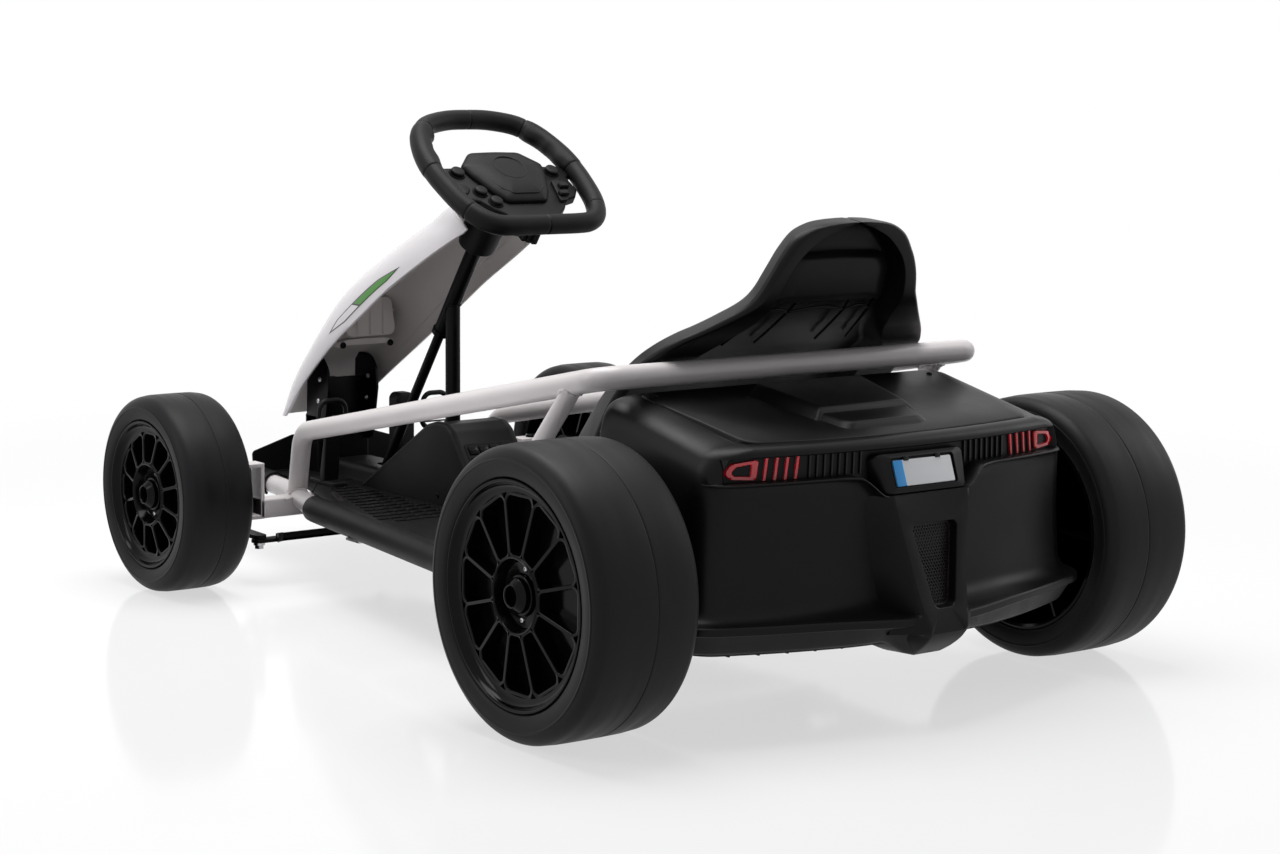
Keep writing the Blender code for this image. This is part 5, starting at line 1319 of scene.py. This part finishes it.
def make_bracket():
    """Post behind the toe board with two rounded plates, and the strap to the fairing."""
    bracket = bmesh.new()
    for side in (1, -1):
        corners = [(-0.158, 0.15), (-0.112, 0.15), (-0.099, 0.222), (-0.101, 0.25), (-0.118, 0.268),
            (-0.154, 0.266)]
        prism(bracket, rounded(corners, [0.004, 0.01, 0.012, 0.02, 0.03, 0.01]), 0.0, 0.004,
            lambda a, b, c, s=side: Vector((s * (0.036 + c), front_y(a), b)), 0.0008)
        for y, z in ((-0.12, 0.236), (-0.124, 0.206)):
            screw(bracket, (side * 0.04, front_y(y), z), (side, 0, 0), 0.0035, 0.002, material=1)
            screw(bracket, (side * 0.036, front_y(y), z), (-side, 0, 0), 0.0035, 0.002, material=1)
    base = PAN_TOP + 0.0003
    post = rounded(oblong(-0.04, 0.04, -0.161, -0.125), 0.003, 4)
    prism(bracket, post, base, 0.185, lambda a, b, c: Vector((a, front_y(b), c)), 0.0015)
    # cross web between the plates; its low reach is partly painted shade, dark steel that closes the shaded
    # gap under the crown
    web = oblong(-0.037, 0.037, 0.158, 0.236)
    prism(bracket, web, -0.134, -0.128, lambda a, b, c: Vector((a, front_y(c), b)), 0.0008)
    wall = fairing_point(0.24, pi / 2 - 0.2, SHELL)
    prism(bracket, [(-0.012, wall.y + 0.001), (0.012, wall.y + 0.001), (0.012, front_y(-0.13)),
        (-0.012, front_y(-0.13))], 0.228, 0.232, xyz, 0.0006)
    screw(bracket, (0.024, front_y(-0.125), 0.16), (0, 1, 0), 0.004, 0.002, material=1)
    piece("fairing_mount", bracket, "black_steel", "fairing_bracket", extra=("zinc_steel",))


# Seat: rear edge of its flange behind the rear axle and height, half width, inner half width,
# depth of the shell's side, its forward direction above the level, rear face ahead of the edge

SEAT = [(-0.459, 0.156, 0.15, 0.144, 0.038, 116.0, 0.02), (-0.391, 0.123, 0.168, 0.162, 0.06, 107.0, 0.02),
    (-0.305, 0.109, 0.182, 0.176, 0.097, 90.0, 0.022), (-0.215, 0.119, 0.19, 0.184, 0.13, 50.0, 0.03),
    (-0.187, 0.2, 0.197, 0.18, 0.112, 20.0, 0.035), (-0.158, 0.252, 0.2, 0.155, 0.082, 18.0, 0.034),
    (-0.13, 0.298, 0.2005, 0.134, 0.056, 16.0, 0.032), (-0.107, 0.3253, 0.2005, 0.132, 0.044, 14.0, 0.03),
    (-0.083, 0.347, 0.2, 0.133, 0.038, 12.0, 0.028), (-0.064, 0.361, 0.198, 0.131, 0.036, 12.0, 0.027),
    (-0.05, 0.373, 0.188, 0.118, 0.035, 12.0, 0.026), (-0.037, 0.383, 0.175, 0.108, 0.035, 12.0, 0.026),
    (-0.025, 0.391, 0.162, 0.102, 0.035, 12.0, 0.026), (-0.01, 0.402, 0.1455, 0.094, 0.035, 13.0, 0.026),
    (0.006, 0.415, 0.128, 0.09, 0.036, 14.0, 0.027), (0.015, 0.428, 0.117, 0.088, 0.037, 15.0, 0.027),
    (0.024, 0.45, 0.107, 0.0815, 0.038, 16.0, 0.027), (0.03, 0.47, 0.097, 0.069, 0.038, 16.0, 0.027),
    (0.0345, 0.488, 0.084, 0.048, 0.036, 15.0, 0.024), (0.038, 0.498, 0.069, 0.026, 0.033, 13.0, 0.022),
    (0.0405, 0.503, 0.054, 0.01, 0.031, 11.0, 0.02), (0.042, 0.5055, 0.0355, 0.003, 0.029, 9.0, 0.019),
    (0.043, 0.5066, 0.01, 0.001, 0.028, 8.0, 0.018)]


def seat_station(t):
    return [curve([(k, row[n]) for k, row in enumerate(SEAT)], t) for n in range(7)]


def seat_rear(z):
    """Place of the seat's rear face at a height, behind the rear axle."""
    low, high = 5.0, 20.0
    for _ in range(24):
        middle = (low + high) / 2
        if seat_station(middle)[1] < z:
            low = middle
        else:
            high = middle
    y, _, _, _, _, lean, face = seat_station(low)
    return y - face * cos(radians(lean))


def make_seat():
    seat = bmesh.new()
    rings = []
    stops = [k / 9 for k in range(0, 163)] + [18.1 + k / 14 for k in range(56)]
    for t in stops:
        y, z, half, inner, depth, lean, face = seat_station(min(t, 22.0))
        ahead = Vector((0, -cos(radians(lean)), sin(radians(lean))))
        edge = Vector((0, axle_y(y), z))
        base = face + 0.006
        crest = half - min(0.62 * depth, 0.5 * half)
        corners = [(0, base), (0.45 * crest, base), (crest, max(depth, base + 0.001)), (half, 0),
            (inner, 0), (inner * 0.93, face), (0, face)]
        smooth = fillet(corners, [0, 0.03, 0.012, 0.008, 0.0015, 0.006, 0])
        right = [(q.x, q.y) for q in smooth]
        left = [(-a, b) for a, b in reversed(right[1:-1])]
        rings.append([edge + Vector((a, 0, 0)) + ahead * b for a, b in right + left])
    skin(seat, rings)

    def on_back(a, b, c):
        return Vector((a, axle_y(seat_rear(b) + c), b))

    # raised panel on the seat's back in the grained finish; its lighter colour is partly painted sheen of
    # its face lit from above
    bulge = rounded([(-0.079, 0.42), (0.079, 0.42), (0.074, 0.471), (0.0, 0.473), (-0.074, 0.471)],
        [0.003, 0.003, 0.022, 0.2, 0.022], 8)
    rows = []
    for inset, out in ((-0.004, -0.004), (-0.001, 0.001), (0.0, 0.003), (0.008, 0.0085), (0.011, 0.0105),
            (0.015, 0.0112)):
        shrink = 1 - inset / 0.05
        rows.append([on_back(p.x * shrink, 0.447 + (p.y - 0.447) * shrink, out) for p in bulge])
    skin(seat, rows, material=1)
    for side in (1, -1):
        for x, spread in ((0.04, 0.003), (0.0755, 0.0125)):
            line = [(x + spread, 0.372), (x + spread * 0.4, 0.392), (x, 0.408), (x - 0.003, 0.4185)]
            tube([on_back(side * a, b, 0.0008) for a, b in line], 0.0015, 8, bm=seat)
    for first, last in ((-0.074, -0.042), (-0.037, 0.037), (0.042, 0.074)):
        ledge = [on_back(first + (last - first) * k / 12, 0.409 + 0.004 * sin(pi * k / 12), 0.0008)
            for k in range(13)]
        tube(ledge, 0.0015, 8, bm=seat)
    piece("bucket", seat, "satin_black", "seat_shell", sharp=50, extra=("grained_black",))


# Steering wheel and column

TILT = radians(55.2)           # column above the level
KINGPIN_X = 0.225
ARM_LENGTH = 0.042
CRANK_RADIUS = 0.03
TIE_LOW, TIE_HIGH = 0.056, 0.06
AXIS = Vector((0, cos(TILT), sin(TILT)))
UP = Vector((0, -sin(TILT), cos(TILT)))


def column_point(height):
    return Vector((0, front_y(0.051) + (height - 0.224) / tan(TILT), height))


WHEEL_CENTRE = column_point(0.529)
CRANK = Vector((0, sin(TILT), -cos(TILT)))
CRANK_TOP = column_point(0.0695 + CRANK_RADIUS * cos(TILT))
RIM = [(0.0, 0.1085), (0.03, 0.107), (0.0605, 0.0985), (0.076, 0.087), (0.0895, 0.068), (0.1005, 0.036),
    (0.1042, 0.008), (0.1032, -0.022), (0.0975, -0.06), (0.086, -0.087), (0.0694, -0.1005),
    (0.05, -0.1035), (0.02, -0.1038), (0.0, -0.1038)]
RIM_LEVEL = 0.002
SEAMS = [(0.0, 0.1085), (0.074, 0.089), (0.104, 0.004), (0.093, -0.074), (0.0, -0.1038)]


def on_wheel(a, b, c):
    return WHEEL_CENTRE + Vector((a, 0, 0)) + UP * b + AXIS * c


def smooth_loop(points, steps):
    """Smooth closed path through the points."""
    result = []
    count = len(points)
    for i in range(count):
        a, b, c, d = (points[(i + k) % count] for k in (-1, 0, 1, 2))
        for k in range(steps):
            t = k / steps
            result.append(b + (c - a) * (t / 2) + (a * 2 - b * 5 + c * 4 - d) * (t * t / 2)
                + (b * 3 - a - c * 3 + d) * (t ** 3 / 2))
    return result


def even(points, step):
    """Closed path sampled at about even steps."""
    result = []
    for i, p in enumerate(points):
        q = points[(i + 1) % len(points)]
        count = max(int((q - p).length / step), 1)
        result += [p.lerp(q, k / count) for k in range(count)]
    return result


def make_steering_rim():
    corners = RIM + [(-a, b) for a, b in reversed(RIM[1:-1])]
    path = even(smooth_loop([Vector((*c, 0)) for c in corners], 8), 0.0011)
    seams = [Vector((s * a, b, 0)) for a, b in SEAMS for s in (1, -1)]
    nearest = [min(path, key=lambda p: (p - seam).length) for seam in seams]
    loops = []
    count = len(path)
    for i, p in enumerate(path):
        run = (path[(i + 1) % count] - path[i - 1]).normalized()
        inward = Vector((-run.y, run.x, 0))
        if inward.dot(-p) < 0:
            inward.negate()
        grip = smoothstep(0.0, 0.01, p.y) * (1 - smoothstep(0.082, 0.09, p.y))
        grip *= smoothstep(0.07, 0.078, abs(p.x))
        radius = 0.0122 + 0.0008 * grip
        bumps = grip * (0.0045 * exp(-((p.y - 0.078) / 0.012) ** 2)
            + 0.0042 * exp(-((p.y - 0.026) / 0.014) ** 2) + 0.0012 * exp(-((p.y - 0.052) / 0.006) ** 2))
        gap = min((p - q).length for q in nearest)
        radius -= 0.0009 * max(1 - gap / 0.0013, 0.0)
        ring = []
        for k in range(24):
            a = 2 * pi * k / 24
            out = inward * (radius + bumps * max(cos(a), 0.0)) * cos(a)
            ring.append(on_wheel(p.x + out.x, p.y + out.y, RIM_LEVEL + radius * 1.04 * sin(a)))
        loops.append(ring)
    piece("rim_grip", skin(bmesh.new(), loops, closed=True), "grained_black", "steering_rim",
        body="steering", sharp=60)


def dome(bm, outline, centre, rows, place, material=0):
    """Rounded plate: rows of (shrink towards the centre in metres, level)."""
    rings = []
    middle = Vector((*centre, 0))
    reach = sum((p - middle).length for p in outline) / len(outline)
    for inset, level in rows:
        share = 1 - inset / reach
        rings.append([place(*((middle + (p - middle) * share).xy), level) for p in outline])
    return skin(bm, rings, material=material)


def make_steering_pad():
    pad = bmesh.new()

    def plate_outline(half):
        return rounded(mirrored(half), 0.006, 5)

    plate = [(0.04, 0.02), (0.062, 0.0155), (0.1, 0.0155), (0.1, -0.002), (0.088, -0.008),
        (0.0905, -0.033), (0.08, -0.047), (0.064, -0.052), (0.052, -0.068), (0.04, -0.078), (0.038, -0.098)]
    prism(pad, plate_outline(plate), -0.012, -0.001, on_wheel, 0.003)
    under = [(0.036, 0.03), (0.06, 0.01), (0.06, -0.03), (0.044, -0.062), (0.03, -0.074)]
    prism(pad, plate_outline(under), -0.01, -0.026, on_wheel, 0.004)
    half = [(0.037, 0.0375), (0.06, 0.0125), (0.0545, -0.0085), (0.041, -0.041), (0.0285, -0.059)]
    radii = [0.012, 0.009, 0.03, 0.04, 0.009]
    shield = rounded([(0.0, 0.0392)] + mirrored(half), [0.3] + radii + radii[::-1], 8)
    dome(pad, shield, (0, -0.01), ((0.0, -0.008), (0.0, 0.001), (0.0005, 0.003), (0.0018, 0.0048),
        (0.0045, 0.0064), (0.01, 0.0086), (0.018, 0.0106), (0.027, 0.0119), (0.036, 0.0125)), on_wheel)
    groove = fillet([(0.0455, -0.004), (0.03, -0.04), (0.019, -0.05), (-0.019, -0.05), (-0.03, -0.04),
        (-0.0455, -0.004)], 0.01, 8)
    tube([on_wheel(p.x, p.y, 0.0078 + 0.002 * (1 - abs(p.x) / 0.046)) for p in groove], 0.0009, 8, bm=pad)
    ring = [on_wheel(0.0215 * cos(a), -0.003 + 0.0215 * sin(a), 0.0121) for a in circle(64)]
    tube(ring, 0.0008, 8, closed=True, bm=pad)
    for x, y, size in ((0.07, 0.002, 0.0088), (-0.07, 0.002, 0.0088), (0.0565, -0.0355, 0.0082),
            (0.045, -0.056, 0.0082)):
        knob = [Vector((x + size * cos(a), y + size * sin(a), 0)) for a in circle(32)]
        dome(pad, knob, (x, y), ((-0.0022, -0.004), (-0.002, -0.0004), (-0.0012, 0.0006),
            (-0.0002, 0.0004), (0.0, -0.0006), (0.0, 0.0034), (0.0006, 0.0046), (0.0018, 0.0052),
            (0.0042, 0.0055)), on_wheel)
    rocker = rounded([(0.089, -0.024), (0.074, -0.02), (0.068, -0.03), (0.08, -0.043)], 0.003, 5)
    dome(pad, rocker, (0.078, -0.03), ((0.0, -0.008), (0.0, 0.0004), (0.0008, 0.002), (0.003, 0.0026)),
        on_wheel)
    block = rounded([(-0.057, -0.018), (-0.0765, -0.019), (-0.075, -0.032), (-0.06, -0.058),
        (-0.048, -0.06)], 0.003, 5)
    dome(pad, block, (-0.066, -0.034), ((0.0, -0.008), (0.0, 0.001), (0.0008, 0.0024), (0.003, 0.0028)),
        on_wheel)
    for k in range(2):
        centre = (-0.0665 + 0.008 * k, -0.032 - 0.015 * k)
        corners = [(0.0065, 0.0042), (-0.0085, 0.0042), (-0.0075, -0.0042), (0.0065, -0.0042)]
        roller = rounded([(centre[0] + a, centre[1] + b) for a, b in corners], 0.0022, 4)
        dome(pad, roller, centre, ((0.0, -0.001), (0.0, 0.004), (0.0006, 0.0062), (0.002, 0.0074)),
            on_wheel)

    def around(along, b, c):
        return WHEEL_CENTRE + AXIS * along + Vector((1, 0, 0)) * b + UP * c

    cup = [(-0.064, 0.0085), (-0.064, 0.0175), (-0.111, 0.0195), (-0.113, 0.0205), (-0.1135, 0.022),
        (-0.1125, 0.0232), (-0.108, 0.024), (-0.085, 0.0256), (-0.06, 0.0278), (-0.036, 0.03),
        (-0.025, 0.0345), (-0.024, 0.0345)]
    revolve(pad, cup, 48, around, closed=False)
    cowl = rounded([(0.034, -0.01), (-0.014, -0.01), (-0.014, -0.072), (0.012, -0.062), (0.03, -0.044)],
        0.012)
    dome(pad, cowl, (0.004, -0.04), ((0.0, -0.022), (0.001, -0.042), (0.004, -0.0485), (0.009, -0.051)),
        on_wheel)
    for k, reach in enumerate((0.0, 0.0035, 0.007)):
        x = -0.007 - 0.0055 * k
        rib = rounded([(x + 0.002, -0.02), (x - 0.0052, -0.02), (x - 0.0052, -0.072 - reach),
            (x + 0.002, -0.071 - reach)], 0.0014, 4)
        dome(pad, rib, (x - 0.002, -0.046), ((0.0, -0.022), (0.0004, -0.0495), (0.0012, -0.051)), on_wheel)
    piece("wheel_pad", pad, "grained_black", "steering_pad", body="steering", sharp=38)


def make_column():
    top, foot = column_point(0.478), column_point(0.318)
    joint = column_point(0.36)
    column = tube([foot, top], 0.01, 32)
    start = Vector((0, front_y(0.147), PAN_TOP + 0.0003))
    tube([start, joint], 0.0095, 32, bm=column)
    weld(column, start, joint, 0.0095, (foot, top), 0.01, 0.0016)
    for t, radius in ((0.0, 0.0116), (1.0, 0.0112)):
        spot = foot.lerp(top, t)
        end = spot + (top - foot).normalized() * (0.007 if t == 0.0 else -0.007)
        tube([spot, end], radius, 32, bm=column)
    piece("column_sleeve", column, "black_steel", "steering_column")
    end = CRANK_TOP + CRANK * CRANK_RADIUS
    shaft = tube(fillet([WHEEL_CENTRE - AXIS * 0.0123, CRANK_TOP, end], 0.006, 8), 0.0065, 28)
    tube([end, end - AXIS * 0.024], 0.0049, 20, bm=shaft)
    tube([end - AXIS * 0.003, end + AXIS * 0.007], 0.008, 24, bm=shaft)
    piece("shaft", shaft, "black_steel", "steering_shaft", body="steering")


def make_front_end():
    beam = bmesh.new()
    y = front_y(0)
    z = FRAME_Z - 0.008
    square = rounded(oblong(-0.0125, 0.0125, -0.0125, 0.0125), 0.0028, 5)
    prism(beam, square, -0.205, 0.205, lambda a, b, c: Vector((c, y + a, z + b)))
    for side in (1, -1):
        profile = [(0.2, 0.0795), (0.24, 0.0795), (0.24, 0.0845), (0.205, 0.0845), (0.205, 0.1465),
            (0.24, 0.1465), (0.24, 0.1515), (0.2, 0.1515)]
        prism(beam, profile, y - 0.0125, y + 0.0125, lambda a, b, c, s=side: Vector((s * a, c, b)), 0.0008)
        revolve(beam, [(0.151, 0.0085), (0.1545, 0.0085), (0.1555, 0.007), (0.1555, 0.0004)], 6,
            lambda a, b, c, s=side: Vector((s * KINGPIN_X + b, y + c, a)), closed=False, material=1)
    piece("axle_beam", beam, "white_paint", "front_beam", sharp=35, extra=("black_steel",))
    bar = bmesh.new()
    arm = y + ARM_LENGTH
    slot_y = (CRANK_TOP + CRANK * CRANK_RADIUS - AXIS * 0.014).y
    outline = [(KINGPIN_X + a, arm + b) for a, b in arc((0, 0), 0.01, 90, -90, 12)]
    outline += [(0.03, arm - 0.01), (0.018, slot_y - 0.02), (-0.018, slot_y - 0.02), (-0.03, arm - 0.01)]
    outline += [(-KINGPIN_X + a, arm + b) for a, b in arc((0, 0), 0.01, 270, 90, 12)]
    prism(bar, outline, TIE_LOW, TIE_HIGH, xyz, 0.0006)
    lip = oblong(-0.205, 0.205, arm + 0.007, arm + 0.01)
    prism(bar, lip, TIE_LOW, TIE_HIGH + 0.0065, xyz, 0.0006)
    for side in (1, -1):
        hook = [(0.196, arm + 0.01), (0.205, arm + 0.01), (0.2065, arm + 0.017), (0.203, arm + 0.013)]
        prism(bar, [(side * a, b) for a, b in hook], TIE_LOW, TIE_HIGH + 0.0075, xyz, 0.0004)
    piece("track_bar", bar, "black_steel", "tie_bar", body="tie", sharp=35)
    for name, side in SIDES:
        nut = bmesh.new()
        centre = Vector((side * KINGPIN_X, arm, 0))

        def stack(a, b, c):
            return centre + Vector((b, c, a))

        revolve(nut, [(0.0525, 0.0075), (0.0555, 0.0075)], 28, stack, closed=False)
        revolve(nut, [(0.048, 0.003), (0.048, 0.0062), (0.0525, 0.0062)], 6, stack, closed=False)
        piece(f"track_nut_{name}", nut, "zinc_steel", body=f"kingpin_{name}")


def soften_cad():
    """Small rounded edges on the plain pieces that keep their CAD shape."""
    for name in ("knuckle_left", "knuckle_right", "gearbox_left", "gearbox_right", "battery_box",
            "cross_strip_front", "cross_strip_rear"):
        bevel = frame["nodes"][name].modifiers.new("Rounded edges", "BEVEL")
        bevel.width = 0.0008
        bevel.segments = 2
        bevel.limit_method = "ANGLE"
        bevel.angle_limit = radians(40)


# Floor, lights and camera

FLOOR_REACH = 12.0
CAMERA_PLACE = (1.8466, 2.5449, 0.6755)
CAMERA_TURN = 142.6762        # degrees round the kart from straight in front
CAMERA_RISE = 8.0103
CAMERA_ROLL = 0.7261
LENS = 74.295


def make_camera():
    azimuth, rise, roll = (radians(v) for v in (CAMERA_TURN, CAMERA_RISE, CAMERA_ROLL))
    back = Vector((sin(azimuth) * cos(rise), -cos(azimuth) * cos(rise), sin(rise)))
    right = (-back).cross(Vector((0, 0, 1))).normalized()
    up = right.cross(-back)
    right, up = right * cos(roll) + up * sin(roll), up * cos(roll) - right * sin(roll)
    data = bpy.data.cameras.new("camera")
    data.lens = LENS
    data.sensor_width = 36.0
    camera = bpy.data.objects.new("camera", data)
    camera.matrix_world = Matrix(((right.x, up.x, back.x, CAMERA_PLACE[0]),
        (right.y, up.y, back.y, CAMERA_PLACE[1]), (right.z, up.z, back.z, CAMERA_PLACE[2]), (0, 0, 0, 1)))
    bpy.context.scene.collection.objects.link(camera)
    bpy.context.scene.camera = camera


def add_light(name, place, target, size, energy, colour=(1.0, 1.0, 1.0)):
    data = bpy.data.lights.new(name, "AREA")
    data.shape = "RECTANGLE"
    data.size, data.size_y = size
    data.energy = energy
    data.color = colour
    light = bpy.data.objects.new(name, data)
    light.location = place
    light.rotation_mode = "QUATERNION"
    light.rotation_quaternion = (Vector(target) - Vector(place)).to_track_quat("-Z", "Y")
    bpy.context.scene.collection.objects.link(light)


def make_world():
    """Soft grey fill; white to the camera, in reflections and through glass."""
    world = bpy.data.worlds.new("studio")
    bpy.context.scene.world = world
    world.use_nodes = True
    tree = world.node_tree
    fill = add_node(tree, tree.nodes["Background"], {"Color": (0.95, 0.96, 1.0, 1.0), "Strength": 0.2})
    white = add_node(tree, "Background", {"Color": (1.0, 1.0, 1.0, 1.0), "Strength": 1.0})
    rays = add_node(tree, "LightPath", {}).outputs
    seen = maths(tree, "MAXIMUM", rays["Is Camera Ray"], rays["Is Glossy Ray"])
    seen = maths(tree, "MAXIMUM", seen, rays["Is Transmission Ray"])
    mix = add_node(tree, "MixShader", {0: seen, 1: fill.outputs[0], 2: white.outputs[0]})
    add_node(tree, tree.nodes["World Output"], {"Surface": mix.outputs[0]})


def make_floor():
    """White floor that keeps the shadow and a soft reflection near the kart."""
    mat = bpy.data.materials.new("pale_floor")
    mat.use_nodes = True
    tree = mat.node_tree
    pale = add_node(tree, tree.nodes["Principled BSDF"], {"Base Color": (0.93, 0.93, 0.95, 1.0),
        "Roughness": 0.1, "Specular IOR Level": 0.6})
    white = add_node(tree, "Emission", {"Color": (1.0, 1.0, 1.0, 1.0), "Strength": 1.0})
    place = add_node(tree, "TexCoord", {}).outputs["Object"]
    reach = add_node(tree, "VectorMath", {0: place}, operation="LENGTH").outputs["Value"]
    fade = add_node(tree, "MapRange", {"Value": reach, "From Min": 0.6, "From Max": 2.2, "To Min": 0.62,
        "To Max": 1.0}, interpolation_type="SMOOTHSTEP").outputs["Result"]
    rays = add_node(tree, "LightPath", {}).outputs
    seen = maths(tree, "MAXIMUM", rays["Is Camera Ray"], rays["Is Glossy Ray"])
    share = maths(tree, "MULTIPLY", seen, fade)
    mix = add_node(tree, "MixShader", {0: share, 1: pale.outputs[0], 2: white.outputs[0]})
    add_node(tree, tree.nodes["Material Output"], {"Surface": mix.outputs[0]})
    bm = bmesh.new()
    bm.faces.new([bm.verts.new((*p, 0)) for p in oblong(-FLOOR_REACH, FLOOR_REACH, -FLOOR_REACH,
        FLOOR_REACH)])
    mesh = bpy.data.meshes.new("floor")
    bm.to_mesh(mesh)
    bm.free()
    mesh.materials.append(mat)
    floor = bpy.data.objects.new("floor", mesh)
    bpy.context.scene.collection.objects.link(floor)


def make_lights():
    add_light("top", (0.1, -0.2, 2.2), (0, 0, 0.1), (1.5, 1.9), 52)
    add_light("left", (2.3, -0.6, 1.5), (0, 0, 0.2), (0.7, 1.5), 15)
    add_light("right", (-2.2, 0.9, 1.5), (0, 0.2, 0.2), (0.7, 1.5), 11)


def dress_cad():
    """Every CAD node that stays visible takes its slot's finish."""
    for entry in frame["record"]["subparts"]:
        obj = frame["nodes"][entry["node"]]
        obj.data.materials.clear()
        obj.data.materials.append(MATERIALS[entry["material_slot"]])


bpy.context.scene.view_settings.view_transform = "Standard"
make_camera()
make_world()
make_floor()
make_lights()
dress_cad()
make_wheels()
make_rear_body()
make_keel()
make_grille()
make_plate()
make_lamps()
make_deck_cover()
make_tray()
make_frame()
make_pan()
make_toe_board()
make_console()
make_pedal_pieces()
make_fairing()
make_lamp_box()
make_streaks()
make_bracket()
make_seat()
make_steering_rim()
make_steering_pad()
make_column()
make_front_end()
soften_cad()
